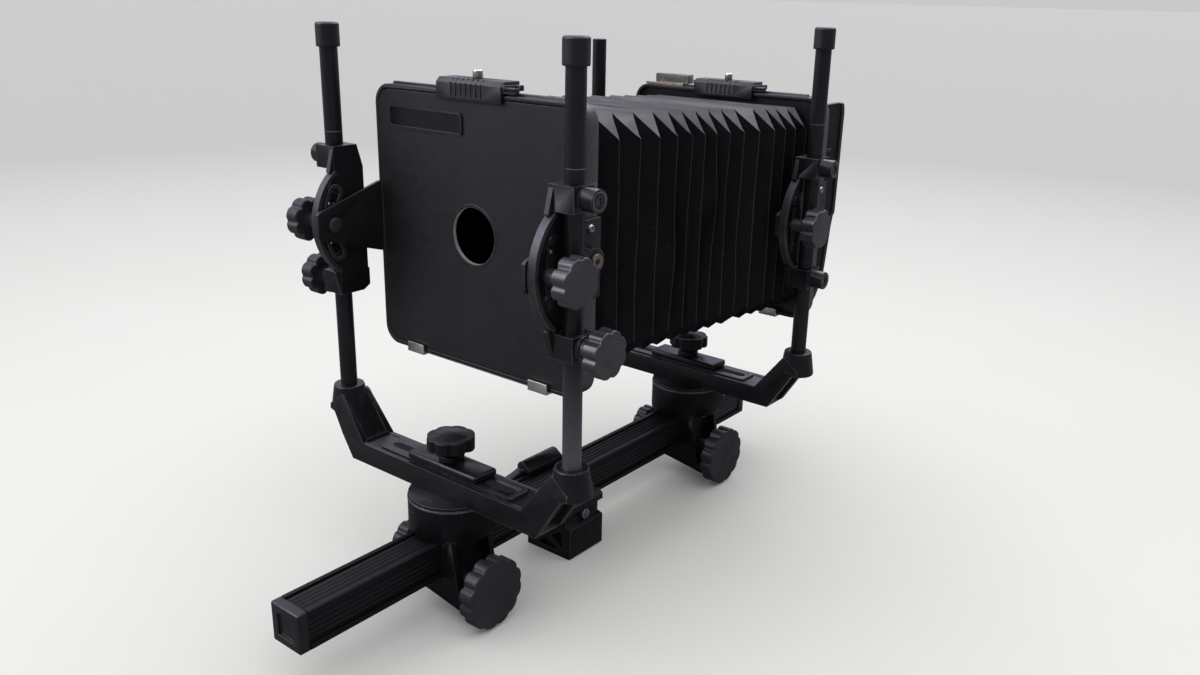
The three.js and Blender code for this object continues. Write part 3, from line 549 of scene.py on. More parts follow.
def rods():
    """Smooth rods and rod caps in the place of the faceted ones."""
    for node in [n for n in frame["nodes"] if "_rod_" in n]:
        low, high = span(node)
        middle = (low + high) / 2
        radius = (high[0] - low[0]) / 2
        bottom, top = low[2], high[2]
        if "_cap_" in node:
            look, rounding = "cap_plastic", 0.45
            outline = [(5.6, top - 6.6), (5.6, bottom), (radius - 0.2, bottom), (radius, bottom + 0.8),
                       (radius, top - 0.9), (radius - 0.9, top), (0.4, top)]
        else:
            # The front right rod takes the copy with a painted floor reflection low down.
            look, rounding = "anodised_worn" if node == "front_rod_right" else "anodised_black", 0.5
            outline = [(0.4, bottom), (radius, bottom), (radius, top), (0.4, top)]
        shell = Shell().turned(soften(outline, rounding, 3), 64).place((middle[0], middle[1], 0))
        piece(node.replace("_rod_", "_post_"), shell, look, BODY_OF[node], [node])


def sockets():
    """Smooth cones over the faceted ones at the ends of the U-shaped castings."""
    for name in ("front", "rear"):
        low, high = span(f"{name}_u_frame")
        top = high[2]
        for side in SIDES:
            foot = span(f"{name}_rod_{side}")
            middle = (foot[0] + foot[1]) / 2
            outline = [(5.75, top - 16.0), (12.2, top - 17.3), (12.45, top - 16.2), (9.95, top),
                       (7.4, top + 0.1), (5.75, top - 0.9)]
            closed = soften(outline + outline[:1], 1.3, 5)
            shell = Shell().ring([(max(r, 5.7), h) for r, h in closed[:-1]], 64)
            shell.place((middle[0], middle[1], 0))
            piece(f"{name}_socket_{side}", shell, "black_enamel", f"{name}_upright")


# ---- CAD nodes that keep their shape ----
PLACES = ("front", "rear", "left", "right", "upper", "lower")
# The finish and the edge rounding of each kind of kept node, named without its place.
KEPT = {
    "monorail": ("rail_black", 0.25), "rail_cap": ("cap_plastic", 0.3), "focus_rack": ("steel", 0),
    "tripod_block": ("block_plastic", 0.4), "tripod_jaw": ("block_plastic", 0.5),
    "tripod_screw": ("steel", 0.2), "badge_plate": ("back_plastic", 0.15),
    "spirit_level": ("clear_acrylic", 0.3), "focusing_back": ("back_plastic", 0.5),
    "ground_glass": ("ground_glass", 0.1), "back_spring": ("steel", 0.1),
    # The rail clamps take the darker copy of the black enamel: painted shade.
    "rail_clamp": ("clamp_enamel", 0.5), "focus_pinion": ("steel", 0), "turntable": ("black_enamel", 0.3),
    "u_frame": ("black_enamel", 0.45), "shift_plate": ("block_plastic", 0.3),
    "frame": ("frame_black", 0.5), "top_lock": ("back_plastic", 0.25), "lock_stud": ("nickel", 0.2),
    "board_hooks": ("nickel", 0.2), "bracket": ("black_enamel", 0.35), "arm": ("board_black", 0.3),
}


def kept_nodes():
    for node in frame["nodes"]:
        kind = "_".join(word for word in node.split("_") if word not in PLACES)
        if kind in KEPT:
            dress(node, *KEPT[kind])


# ---- Small details ----
TILT_PIVOT = 26.0      # the tilt pivot, behind the rod
TILT_RADIUS = 40       # the curved slot, round the tilt pivot
TILT_SLOT = 28.0       # half the slot's length, in degrees
RIM_CENTRE = 16.4      # the centre of the quadrant's rim, behind the rod
RIM_INNER, RIM_OUTER = 38.45, 41.05
WASHER_OUT = 92.2      # the washer at the tilt pivot, from the middle
ARM_SCREW_OUT = 86.6   # the arm's screws, from the middle, and then behind the rod
ARM_SCREW_BEHIND = {"front": 26.8, "rear": 35.7}
BARREL_HEIGHTS = {"front": (40,), "rear": (-40, 40)}
FLANK = 16.5           # the side of the rail clamp, from the middle
LENS_HOLE, LENS_RIM = 17.35, 19.2
BOARD_CORNER, BOARD_STEPS = 9.0, 160
DRUM_EDGE = 28.12      # the radius of the drum's top edge
U_FRAME_BOTTOM = 36.9  # the underside of the U-shaped casting, in the heights used for it below


def spot(name, side, x, y, z):
    """A place at a bracket: x out from the middle, y behind the rod and z above the tilt pivot."""
    low, high = span(f"{name}_rod_{side}")
    return Vector((SIDES[side] * x, (low[1] + high[1]) / 2 + y, joint_at(f"{name}_tilt").z + z))


def swept(path, inner, outer, low, high, centre, side, closed=False):
    """A square-edged bar along a path in the yz plane; path lists (direction, middle) pairs."""
    rings = []
    for direction, middle in path:
        corners = []
        for offset, x in ((inner, low), (outer, low), (outer, high), (inner, high)):
            y, z = Vector(middle) + Vector(direction) * offset
            corners.append((SIDES[side] * x, centre.y + y, centre.z + z))
        rings.append(corners)
    return Shell().loft(rings, closed)


def arc(radius, start, stop, steps):
    """Directions and points along an arc about the local origin, angles in degrees."""
    path = []
    for i in range(steps + 1):
        angle = math.radians(start + (stop - start) * i / steps)
        direction = Vector((math.cos(angle), math.sin(angle)))
        path.append((direction, direction * radius))
    return path


def slot_path(radius, reach, steps=16):
    """The closed line round a curved slot that faces the front, as (outward, middle) pairs."""
    path = arc(radius, 180 - reach, 180 + reach, steps)
    for stop in (180 + reach, 180 - reach):
        middle = Vector((math.cos(math.radians(stop)), math.sin(math.radians(stop)))) * radius
        turn = 1 if stop > 180 else -1
        begin = stop if turn > 0 else stop + 180
        for i in range(1, 9):
            angle = math.radians(begin + 180 * i / 9)
            path.append((Vector((math.cos(angle), math.sin(angle))), middle))
        if turn > 0:
            inner = arc(radius, 180 + reach, 180 - reach, steps)
            path += [(-direction, point) for direction, point in inner]
    return path


def quadrant_details(name, side, rod, pivot):
    """The rim, ticks, slot edge and slot ends of a tilt quadrant, and the shield that slides on it."""
    sign, lift = SIDES[side], f"{name}_lift"
    rim_centre = rod + Vector((0, RIM_CENTRE, 0))
    rim = swept(arc(0, 128, 232, 30), RIM_INNER, RIM_OUTER, 86.93, 92.3, rim_centre, side)
    rim_look = "abraded_lit_rim_grey" if name == "front" else "abraded_lit_edge_grey"
    piece(f"{name}_quadrant_rim_{side}", rim, rim_look, lift, bevel=0.3)
    for i, angle in enumerate((144, 180, 216)):
        tick = swept(arc(0, angle - 0.35, angle + 0.35, 1), 40.5, 41.12, 86.9, 92.36, rim_centre, side)
        piece(f"{name}_quadrant_tick_{side}_{i + 1}", tick, "cap_plastic", lift)
    edge = swept(slot_path(TILT_RADIUS, TILT_SLOT), 3.0, 5.4, 86.95, 88.2, pivot, side, closed=True)
    piece(f"{name}_slot_rim_{side}", edge, rim_look, lift, bevel=0.2)
    dome = soften([(0.05, -2), (3.3, -2), (3.3, 1.2), (2.2, 1.9), (0.05, 2.0)], 0.5, 3)
    for end, turn in (("upper", 1), ("lower", -1)):
        angle = math.radians(180 - turn * 25.8)
        place = pivot + Vector((sign * 90.6, TILT_RADIUS * math.cos(angle), TILT_RADIUS * math.sin(angle)))
        boss = Shell().turned(dome, 28).place(place, "x", sign)
        piece(f"{name}_slot_boss_{side}_{end}", boss, "black_enamel", lift)
    shield = swept(arc(0, 163, 197, 8), 36.4, 43.6, 92.62, 92.78, pivot, side)
    piece(f"{name}_slot_shield_{side}", shield, "cap_plastic", f"{name}_tilt")


def arm_details(name, side, rod, pivot):
    """The washer and rivet at the tilt pivot, the arm's screws, and the covers and wedges by them."""
    sign, lift, tilt = SIDES[side], f"{name}_lift", f"{name}_tilt"
    place = pivot + Vector((sign * WASHER_OUT, 0, 0))
    washer = Shell().ring([(1.9, -0.6), (4.4, -0.6), (4.4, 0.7), (1.9, 0.7)], 40).place(place, "x", sign)
    piece(f"{name}_pivot_washer_{side}", washer, "brass", tilt, bevel=0.2)
    dome = soften([(0.05, -1), (2.0, -1), (2.0, 0.5), (1.2, 0.9), (0.05, 0.95)], 0.3, 3)
    rivet = Shell().turned(dome, 32).place(place, "x", sign)
    piece(f"{name}_pivot_rivet_{side}", rivet, "cap_plastic", tilt)
    wedge = [(-8.7, 46.3), (-12.8, 31.5), (-8.7, 29.5)]
    for end, turn in (("upper", 1), ("lower", -1)):
        place = spot(name, side, ARM_SCREW_OUT, ARM_SCREW_BEHIND[name], turn * 17.5)
        screw(f"{name}_arm_screw_{side}_{end}", place, "x", sign, 2.5, tilt)
        cover = swept(arc(0, 180 - turn * 19.4, 180 - turn * 32.5, 5), 36.6, 43.4, 90.7, 91.5, pivot, side)
        piece(f"{name}_slot_cover_{side}_{end}", cover, "cap_plastic", lift)
        rings = [[(sign * x, rod.y + y, rod.z + turn * z) for y, z in wedge] for x in (87.5, 91.0)]
        web = Shell().loft(rings)
        piece(f"{name}_web_wedge_{side}_{end}", web, "cap_plastic", lift, bevel=0.3)


def barrel_details(name, side):
    """The recessed plug and the bright ring in the end of each of the bracket's barrels."""
    sign, lift = SIDES[side], f"{name}_lift"
    plug = soften([(0.05, -1.6), (2.35, -1.6), (2.35, 1.3), (1.5, 1.3), (1.35, 0.1), (0.05, 0.1)], 0.2, 2)
    groove = [(4.55, -0.5), (5.05, -0.5), (5.05, 0.12), (4.55, 0.12)]
    for z in BARREL_HEIGHTS[name]:
        end = "upper" if z > 0 else "lower"
        screw_end = Shell().turned(plug, 24).place(spot(name, side, 111.5, 0, z), "x", sign)
        piece(f"{name}_barrel_plug_{side}_{end}", screw_end, "steel", lift)
        ring = Shell().ring(groove, 36).place(spot(name, side, 114, 0, z), "x", sign)
        piece(f"{name}_barrel_ring_{side}_{end}", ring, "abraded_lit_rim_grey", lift)


def rod_rings():
    """The thin bright joint line on each rod."""
    for node in [n for n in frame["nodes"] if "_rod_left" in n or "_rod_right" in n]:
        low, high = span(node)
        radius = (high[0] - low[0]) / 2
        inner, outer = radius - 0.4, radius + 0.03
        line = [(inner, -0.24), (outer, -0.24), (outer, 0.24), (inner, 0.24)]
        ring = Shell().ring(line, 56).place(((low[0] + high[0]) / 2, (low[1] + high[1]) / 2, ROD_SEAM))
        piece(node.replace("_rod_", "_joint_ring_"), ring, "abraded_lit_edge_grey", BODY_OF[node])


def rounded_loop(half_x, half_z, corner, steps=5):
    """A rounded rectangle in the xz plane as a list of (x, z)."""
    loop = []
    flat_x, flat_z = half_x - corner, half_z - corner
    for turn, (sx, sz) in enumerate(((1, 1), (-1, 1), (-1, -1), (1, -1))):
        for i in range(steps + 1):
            angle = math.radians(90 * turn + 90 * i / steps)
            loop.append((sx * flat_x + corner * math.cos(angle), sz * flat_z + corner * math.sin(angle)))
    return loop


def flat_frame(outer, inner, front, back, centre):
    """A thin closed frame between two rounded rectangles, facing the lens side."""
    rings = []
    for (ox, oz), (ix, iz) in zip(rounded_loop(*outer), rounded_loop(*inner)):
        rings.append([(centre[0] + x, y, centre[2] + z)
                      for x, y, z in ((ox, front, oz), (ox, back, oz), (ix, back, iz), (ix, front, iz))])
    return Shell().loft(rings, closed=True)


def board():
    """The lens board with its smooth round hole and the low flat rim round it."""
    low, high = span("lens_board")
    centre = (low + high) / 2
    half = (high[0] - low[0]) / 2
    inner = half - BOARD_CORNER
    front, back, rim_front = low[1] + 0.3, high[1], low[1]
    rim = [(LENS_HOLE + 0.05, back), (LENS_HOLE, back - 0.05), (LENS_HOLE, rim_front + 0.35),
           (LENS_HOLE + 0.3, rim_front), (LENS_RIM - 0.25, rim_front), (LENS_RIM, rim_front + 0.28),
           (LENS_RIM + 0.3, front)]
    rings = []
    for i in range(BOARD_STEPS):
        angle = 2 * math.pi * (i + 0.5) / BOARD_STEPS
        cosine, sine = math.cos(angle), math.sin(angle)
        reach = half / max(abs(cosine), abs(sine))
        if abs(cosine) * reach > inner and abs(sine) * reach > inner:
            b = inner * (abs(cosine) + abs(sine))
            reach = b + math.sqrt(max(b * b - 2 * inner * inner + BOARD_CORNER * BOARD_CORNER, 0))
        profile = [(reach - 0.5, front), (reach - 0.12, front + 0.12), (reach, front + 0.5), (reach, back)]
        rings.append([(centre[0] + r * cosine, y, centre[2] + r * sine) for r, y in profile + rim])
    panel = Shell().loft(rings, closed=True)
    piece("board_panel", panel, "board_black", "front_tilt", ["lens_board"], sharp=30)


def board_details():
    """A pale sleeve in the lens hole as a painted highlight on its edge, and the blank badge's rim and
    field.
    """
    low, high = span("lens_board")
    centre = (low + high) / 2
    # A pale grey sleeve just inside the hole: painted highlight on the hole's edge.
    wall = [(17.3, 0.36), (17.6, 0.36), (17.6, 2.6), (17.3, 2.6)]
    sleeve = Shell().ring(wall, 72).place((centre[0], low[1], centre[2]), "y", 1)
    piece("lens_hole_highlight", sleeve, "hole_highlight_grey", "front_tilt", sharp=30)
    low, high = span("badge_plate")
    centre = (low + high) / 2
    half_x, half_z = (high[0] - low[0]) / 2, (high[2] - low[2]) / 2
    rim = flat_frame((half_x + 0.05, half_z + 0.05, 2.2), (half_x - 0.55, half_z - 0.55, 1.8),
                     low[1] - 0.1, low[1] + 0.3, centre)
    piece("badge_rim", rim, "cap_plastic", "front_tilt")
    field = rounded_loop(half_x - 0.9, half_z - 0.9, 1.4)
    rings = [[(centre[0] + x, y, centre[2] + z) for x, z in field] for y in (low[1] + 0.38, low[1] + 0.7)]
    piece("badge_field", Shell().loft(rings), "gloss_black", "front_tilt")


def level_details():
    """The bubble vial in the clear block, and the brass strip under it."""
    low, high = span("spirit_level")
    centre = (low + high) / 2
    length = (high[0] - low[0]) / 2 - 4
    vial = [(0.05, -length), (1.6, -length), (2.4, -length + 1.2), (2.5, 0), (2.4, length - 1.2),
            (1.6, length), (0.05, length)]
    tube = Shell().turned(vial, 28).place(centre, "x", 1)
    piece("level_vial", tube, "level_vial", "rear_tilt")
    for i, x in enumerate((-3, 3)):
        band = Shell().ring([(2.45, -0.3), (2.75, -0.3), (2.75, 0.3), (2.45, 0.3)], 28)
        band.place(centre + Vector((x, 0, 0)), "x", 1)
        piece(f"level_line_{i + 1}", band, "cap_plastic", "rear_tilt")
    strip = Shell().block((low[0] - 9, low[1] - 1.0, low[2] - 1.9),
                          (high[0] - 4, low[1] - 0.1, low[2] + 0.1))
    piece("level_strip", strip, "brass", "rear_tilt", bevel=0.2)


def clamp_details(name):
    """The small screws and the ring on the flank of the rail clamp, and a pale ring round the drum's top
    edge as a painted highlight.
    """
    low, high = span(f"{name}_rail_clamp")
    drum_low, drum_high = span(f"{name}_turntable")
    middle_y = (drum_low[1] + drum_high[1]) / 2
    rail_low, rail_high = span("monorail")
    body, rail_z = f"{name}_carriage", (rail_low[2] + rail_high[2]) / 2
    # A pale ring round the drum's top edge: painted highlight.
    edge = [(26.9, -1.3), (DRUM_EDGE, -1.3), (DRUM_EDGE, -0.5), (27.7, 0.04), (26.9, 0.04)]
    rim = Shell().ring(edge, 80).place((0, middle_y, high[2]))
    piece(f"{name}_drum_rim_highlight", rim, "abraded_lit_edge_grey", body, sharp=30)
    for i, (y, z) in enumerate(((-15.6, -5.5), (-14.8, -14.5))):
        place = (FLANK, middle_y + y, rail_z + z)
        screw(f"{name}_flank_screw_{i + 1}", place, "x", 1, 1.5, body, "cap_plastic", 1.0)
    ring = Shell().ring([(1.5, -0.5), (2.5, -0.5), (2.5, 0.7), (1.5, 0.7)], 28)
    ring.place((FLANK, middle_y + 2.5, rail_z + 7.5), "x", 1)
    piece(f"{name}_flank_ring", ring, "steel", body, bevel=0.15)


def casting_details(name):
    """The flat top face of the U-shaped casting's bar, the ends of its long slot, and dark strips in the
    slot as painted shade.
    """
    low, high = span(f"{name}_u_frame")
    rod_low, rod_high = span(f"{name}_rod_right")
    y = (rod_low[1] + rod_high[1]) / 2
    z0 = low[2] - U_FRAME_BOTTOM
    for side, sign in SIDES.items():
        bar = Shell().block((sign * 27, y - 9.75, z0 + 45), (sign * 70.9, y + 9.75, z0 + 50.35))
        piece(f"{name}_bar_face_{side}", bar, "black_enamel", f"{name}_upright")
        # A dark strip on each side stands in for the slot's depth: painted shade.
        groove = rounded_loop(11.5, 3.2, 3.2, 8)
        rings = [[(sign * 42 + x, y + across, z0 + z) for x, across in groove] for z in (51.5, 51.86)]
        piece(f"{name}_slot_shade_{side}", Shell().loft(rings), "shade_black", f"{name}_upright")
    pad = []
    for (ox, oy), (ix, iy) in zip(rounded_loop(57.4, 8.9, 2.2), rounded_loop(54.6, 6.4, 2.2)):
        profile = ((ox, oy, 50.7), (ox, oy, 51.55), (ox - math.copysign(0.3, ox), oy, 51.86),
                   (ix, iy, 51.86), (ix, iy, 50.7))
        pad.append([(x, y + across, z0 + z) for x, across, z in profile])
    pad_shell = Shell().loft(pad, closed=True)
    piece(f"{name}_slot_pad", pad_shell, "black_enamel", f"{name}_upright")


def back_details():
    """The screws and catches in the gap between the rear frame and the focusing back."""
    low, high = span("focusing_back")
    pivot = joint_at("rear_tilt")
    for side, sign in SIDES.items():
        place = (sign * (high[0] + 0.05), low[1] + 4.5, pivot.z + 52)
        screw(f"back_catch_screw_{side}", place, "x", sign, 1.7, "rear_back", "nickel", 1.2)
        for i, z in enumerate((44, 30)):
            bar = Shell().block((sign * (high[0] - 0.3), low[1] + 2.5, pivot.z + z - 1.4),
                                (sign * (high[0] + 1.3), low[1] + 15, pivot.z + z + 1.4))
            name = f"back_catch_bar_{side}_{i + 1}"
            piece(name, bar, "back_plastic", "rear_back", bevel=0.3)


def cheek_details():
    """The raised curved rims of the focusing back's cheeks, and the shadowed field inside them."""
    low, high = span("focusing_back")
    pivot = joint_at("rear_tilt")
    edge = [(29, 77.8), (30.6, 75.5), (31.7, 70), (31.1, 32), (30.3, -6), (28, -8.5), (26, -16),
            (24.2, -28), (22, -42), (20.4, -52), (16.5, -61), (10.5, -69.5), (1.5, -77.8)]
    for side, sign in SIDES.items():
        origin = Vector((0, low[1], pivot.z))
        path = [(Vector((1, 0)), Vector(point)) for point in edge]
        rim = swept(path, -4.4, 0.15, high[0] - 2, high[0] + 1.5, origin, side)
        piece(f"back_cheek_rim_{side}", rim, "back_plastic", "rear_back", bevel=0.5)
        # A dark sheet inside each rim: painted shade.
        inner = [(0.6, 77.6)] + [(y - 4.2, z) for y, z in edge if y > 6] + [(0.6, -76)]
        field = [[(sign * x, origin.y + y, origin.z + z) for y, z in inner]
                 for x in (high[0] - 1, high[0] + 0.12)]
        piece(f"back_cheek_field_{side}", Shell().loft(field), "shade_black", "rear_back")


def details():
    cheek_details()
    for name in ("front", "rear"):
        clamp_details(name)
        for side in SIDES:
            rod = spot(name, side, 0, 0, 0)
            pivot = rod + Vector((0, TILT_PIVOT, 0))
            quadrant_details(name, side, rod, pivot)
            arm_details(name, side, rod, pivot)
            barrel_details(name, side)
        casting_details(name)
    rod_rings()
    board()
    board_details()
    level_details()
    back_details()


# ---- Bellows ----
PLEAT_GAPS = [19, 19, 20, 20, 16, 15, 15, 15, 16, 17.5, 23.5, 18, 14, 15.5, 13]
RIDGE, VALLEY = 76.0, 65.0     # how far ridges and valleys lie from the tube's middle line
STRAIGHT = 62.0                # where the straight panels end and the folded corners begin
SKIN = 0.9                     # the thickness of the cloth
FOLD_STEPS, SIDE_STEPS = 6, 22
CALM_REACH = 5                 # the cloth lies still at a length's ends, over this distance
# The relative lengths of the ten parts, one for each pair of neighbouring bodies.
LENGTHS = [24, 28, 10, 14, 36, 46, 16, 14, 30, 38]


def bellows_outline(fold, inset):
    """One loop of the tube, from side ridge (fold 0) to top ridge (fold 1), as (point, kind) pairs."""
    ridge, valley = RIDGE - inset, VALLEY - inset
    reach = ridge + (valley - ridge) * fold
    top = valley + (ridge - valley) * fold
    side_out, side_in = Vector((ridge, STRAIGHT)), Vector((valley, STRAIGHT))
    top_out, top_in = Vector((STRAIGHT, ridge)), Vector((STRAIGHT, valley))

    def corner(along):
        """A point of the corner, from the side panel's edge (0) to the top panel's edge (1)."""
        if along >= fold:
            return side_out + along * (top_in - side_out) + fold * (top_out - top_in)
        return side_out + fold * (side_in - side_out) + along * (top_out - side_in)

    half = []
    for i in range(SIDE_STEPS):
        half.append((Vector((reach, -STRAIGHT + 2 * STRAIGHT * i / SIDE_STEPS)), "side"))
    for i in range(FOLD_STEPS):
        half.append((corner(i / FOLD_STEPS), "side" if i == 0 else "corner"))
    for i in range(SIDE_STEPS):
        half.append((Vector((STRAIGHT - 2 * STRAIGHT * i / SIDE_STEPS, top)), "top"))
    for i in range(FOLD_STEPS):
        point = corner(1 - i / FOLD_STEPS)
        half.append((Vector((-point.x, point.y)), "top" if i == 0 else "corner"))
    return half + [(-point, kind) for point, kind in half]


def bellows_rings():
    """Every loop of the tube as (y, centre height, fold)."""
    start = span("front_frame")[1][1] + 0.4
    end = span("rear_frame")[0][1] - 0.4
    front_height, rear_height = joint_at("front_tilt").z, joint_at("rear_tilt").z
    scale = (end - start) / sum(PLEAT_GAPS)
    loops = []
    y = start
    for gap in PLEAT_GAPS:
        for half in (0, 1):
            for step in range(FOLD_STEPS):
                share = step / FOLD_STEPS
                fold = share if half == 1 else 1 - share
                loops.append((y + gap * scale * (half + share) / 2, fold))
        y += gap * scale
    loops.append((end, 1.0))
    slope = rear_height - front_height
    return [(y, front_height + slope * (y - start) / (end - start), fold) for y, fold in loops]


def crumple(point, along):
    """How far aged cloth leans along Y at a point, in millimetres: slow waves, fine waves and kinks."""
    slow = noise.noise(Vector((point.x * 0.012, point.y * 0.045, point.z * 0.016))) * 2.6
    fine = noise.noise(point * 0.06 + Vector((7, 3, 1))) * 0.6
    place = noise.noise(Vector((point.y * 0.021, 4.7, point.x * 0.01))) * 60
    height = noise.noise(Vector((2.3, point.y * 0.047, point.x * 0.01))) * 6.5
    kink = height * max(0.0, 1 - abs(along - place) / 34)
    return slow + fine + kink


def on_ridge(kind, fold):
    """Whether that part of a loop is a rubbed ridge."""
    at_side, at_top = fold < 0.01, fold > 0.99
    return {"side": at_side, "top": at_top, "corner": at_side or at_top}[kind]


def bellows_points(rings):
    """The points of the outer skin and then the inner one, in metres, and 1 for each on a ridge.

    The two end loops stay flat, so that neighbouring lengths meet.
    """
    first, last = rings[0][0], rings[-1][0]
    points, ridges = [], []
    for inset in (0.0, SKIN):
        for y, z, fold in rings:
            for (x, up), kind in bellows_outline(fold, inset):
                point = Vector((x, y, z + up))
                if kind != "corner":
                    calm = min(1.0, (y - first) / CALM_REACH, (last - y) / CALM_REACH)
                    point.y += calm * crumple(point, up if kind == "side" else x)
                points.append(point * MM)
                ridges.append(1.0 if on_ridge(kind, fold) else 0.0)
    return points, ridges


def bellows_faces(rings, count):
    """The faces of both skins, loops of count points, and the two rims that join them."""
    faces = []
    total = len(rings)
    shift = total * count
    for i in range(total - 1):
        rising = rings[i + 1][2] > rings[i][2]
        for k in range(count):
            a, b = i * count + k, i * count + (k + 1) % count
            c, d = b + count, a + count
            local = k % (count // 2)
            first_corner = SIDE_STEPS <= local < SIDE_STEPS + FOLD_STEPS
            second_corner = local >= 2 * SIDE_STEPS + FOLD_STEPS
            if first_corner or second_corner:
                forward = rising if first_corner else not rising
                panel = [(a, b, c), (a, c, d)] if forward else [(a, b, d), (b, c, d)]
                faces += [tuple(p + s for p in face) for s in (0, shift) for face in panel]
            else:
                faces += [(a, b, c, d), (a + shift, d + shift, c + shift, b + shift)]
    for i in (0, total - 1):
        for k in range(count):
            a, b = i * count + k, i * count + (k + 1) % count
            faces.append((a, b, b + shift, a + shift))
    return faces


def bellows():
    """Ten lengths in a row, one for each pair of neighbouring bodies."""
    rings = bellows_rings()
    start, end = rings[0][0], rings[-1][0]
    scale = (end - start) / sum(LENGTHS)
    cuts = [start]
    for length in LENGTHS:
        cuts.append(cuts[-1] + length * scale)
    picked = [min(range(len(rings)), key=lambda i: abs(rings[i][0] - cut)) for cut in cuts]
    for i, (low, high) in enumerate(zip(picked, picked[1:])):
        loops = rings[low:high + 1]
        points, ridges = bellows_points(loops)
        faces = bellows_faces(loops, len(points) // (2 * len(loops)))
        part = solid(f"bellows_length_{i + 1}", points, faces, "bellows_cloth", 24)
        part.data.attributes.new("fold", "FLOAT", "POINT").data.foreach_set("value", ridges)
        part.modifiers.new("flat_faces", "WEIGHTED_NORMAL").keep_sharp = True
        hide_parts("bellows")
        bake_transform(part)


# ---- Stage ----
FLOOR_HALF = 40000
VIEW = {"azimuth": math.radians(38.44), "elevation": math.radians(-18.68), "roll": math.radians(1.15),
        "at": (434.2, -498.4, 376.2), "lens": 30.97}


def stage():
    """A wide pale floor, dimmer in the object's own reflections, as it is outside a light tent, and
    painted darker away from the middle as painted shade.
    """
    mesh = bpy.data.meshes.new("floor")
    half = FLOOR_HALF * MM
    corners = [(x * half, y * half, 0) for x, y in ((-1, -1), (1, -1), (1, 1), (-1, 1))]
    mesh.from_pydata(corners, [], [(0, 1, 2, 3)])
    floor = bpy.data.objects.new("floor", mesh)
    bpy.context.collection.objects.link(floor)
    look = Finish("floor_white")
    colour = look.mix(look.remap(look.noise(300, 3), 0.3, 0.7), (0.79, 0.79, 0.78), (0.81, 0.81, 0.805))
    # Past 0.4 m from the middle the floor is painted darker, down to 0.5 at 2 m: painted shade where the
    # light falls off.
    distance = look.node("VectorMath", {"operation": "LENGTH"}, {0: look.place}).outputs["Value"]
    colour = look.mix(look.remap(distance, 0.4, 2.0), colour, (0.50, 0.50, 0.4975))
    mirrored = look.node("LightPath").outputs["Is Glossy Ray"]
    colour = look.mix(mirrored, colour, (0.17, 0.17, 0.19))
    mesh.materials.append(look.finish(Base_Color=colour, Roughness=0.75, Specular_IOR_Level=0.1))


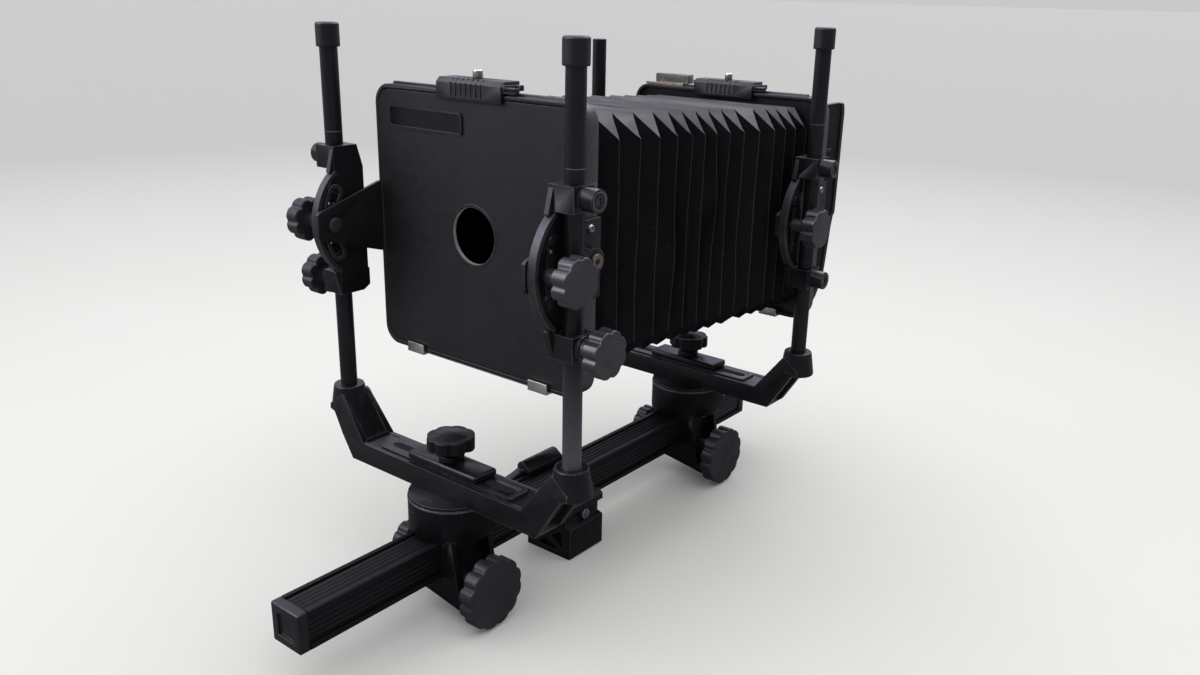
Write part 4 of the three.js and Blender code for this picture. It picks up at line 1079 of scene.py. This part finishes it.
def light():
    """A soft light tent: a bright ceiling, a pale wall behind the camera's subject, a dim front."""
    world = bpy.data.worlds.new("studio")
    bpy.context.scene.world = world
    world.use_nodes = True
    wires = Wiring(world.node_tree)
    ahead = VIEW["azimuth"]
    direction = wires.node("TexCoord").outputs["Generated"]
    x, y, z = wires.node("SeparateXYZ", None, {0: direction}).outputs

    def join(operation, a, b):
        return wires.math(operation, a, b, clamp=False)

    def level(along_x, along_y):
        """How far the direction points along a level vector."""
        return join("ADD", join("MULTIPLY", x, along_x), join("MULTIPLY", y, along_y))

    def ease(value, low, high):
        """0 up to low and 1 from high, with a smooth step between them."""
        inputs = {"Value": value, "From Min": low, "From Max": high}
        return wires.node("MapRange", {"interpolation_type": "SMOOTHSTEP"}, inputs).outputs[0]

    def between(factor, a, b):
        """a where the factor is 0, and b where it is 1."""
        return join("ADD", join("MULTIPLY", join("SUBTRACT", 1.0, factor), a), join("MULTIPLY", factor, b))

    def softbox(side, away, up, spread, power):
        """A round soft lamp in the reflections, placed by its direction from the subject."""
        towards = Vector((side * math.cos(ahead) - away * math.sin(ahead),
                          side * math.sin(ahead) + away * math.cos(ahead), up)).normalized()
        dot = wires.node("VectorMath", {"operation": "DOT_PRODUCT"}, {0: direction, 1: towards})
        edge = math.cos(math.radians(spread))
        return join("MULTIPLY", ease(dot.outputs["Value"], edge, edge + (1 - edge) * 0.6), power)

    back = ease(level(-math.sin(ahead), math.cos(ahead)), -0.25, 0.65)
    leftward = ease(level(-math.cos(ahead), -math.sin(ahead)), 0.62, 0.92)
    left = join("MULTIPLY", leftward, ease(z, -0.2, 0.25))
    top = ease(z, 0.44, 0.66)
    lamps = join("ADD", softbox(-0.85, -0.25, 0.6, 24, 6.5), softbox(0.35, 0.75, 0.75, 20, 4.0))
    soft = between(top, join("ADD", between(back, 0.28, 0.62), join("MULTIPLY", left, 0.6)), 1.42)
    walls = join("ADD", between(back, 0.06, 0.70), join("MULTIPLY", left, 0.7))
    mirrored = join("ADD", between(top, walls, 1.9), lamps)
    rays = wires.node("LightPath").outputs
    seen = between(rays["Is Glossy Ray"], soft, mirrored)
    background = wires.tree.nodes["Background"]
    wires.feed(background.inputs["Strength"], between(rays["Is Camera Ray"], seen, 0.585))
    tints = {0: rays["Is Glossy Ray"], 6: (1.0, 0.998, 0.99, 1), 7: (0.97, 0.95, 1.14, 1)}
    tint = wires.node("Mix", {"data_type": "RGBA"}, tints)
    wires.feed(background.inputs["Color"], tint.outputs[2])


def camera():
    scene = bpy.context.scene
    lens = bpy.data.cameras.new("camera")
    lens.sensor_width = 36
    lens.lens = VIEW["lens"]
    lens.clip_start = 0.01
    lens.clip_end = 200
    holder = bpy.data.objects.new("camera", lens)
    azimuth, elevation = VIEW["azimuth"], VIEW["elevation"]
    ahead = Vector((-math.sin(azimuth) * math.cos(elevation), math.cos(azimuth) * math.cos(elevation),
                    math.sin(elevation)))
    right = Vector((math.cos(azimuth), math.sin(azimuth), 0))
    up = right.cross(ahead)
    turn = Matrix((right, up, -ahead)).transposed() @ Matrix.Rotation(VIEW["roll"], 3, "Z")
    holder.matrix_world = Matrix.Translation(Vector(VIEW["at"]) * MM) @ turn.to_4x4()
    bpy.context.collection.objects.link(holder)
    scene.camera = holder
    scene.view_settings.view_transform = "Standard"


finishes()
kept_nodes()
knobs()
rods()
sockets()
details()
bellows()
stage()
light()
camera()
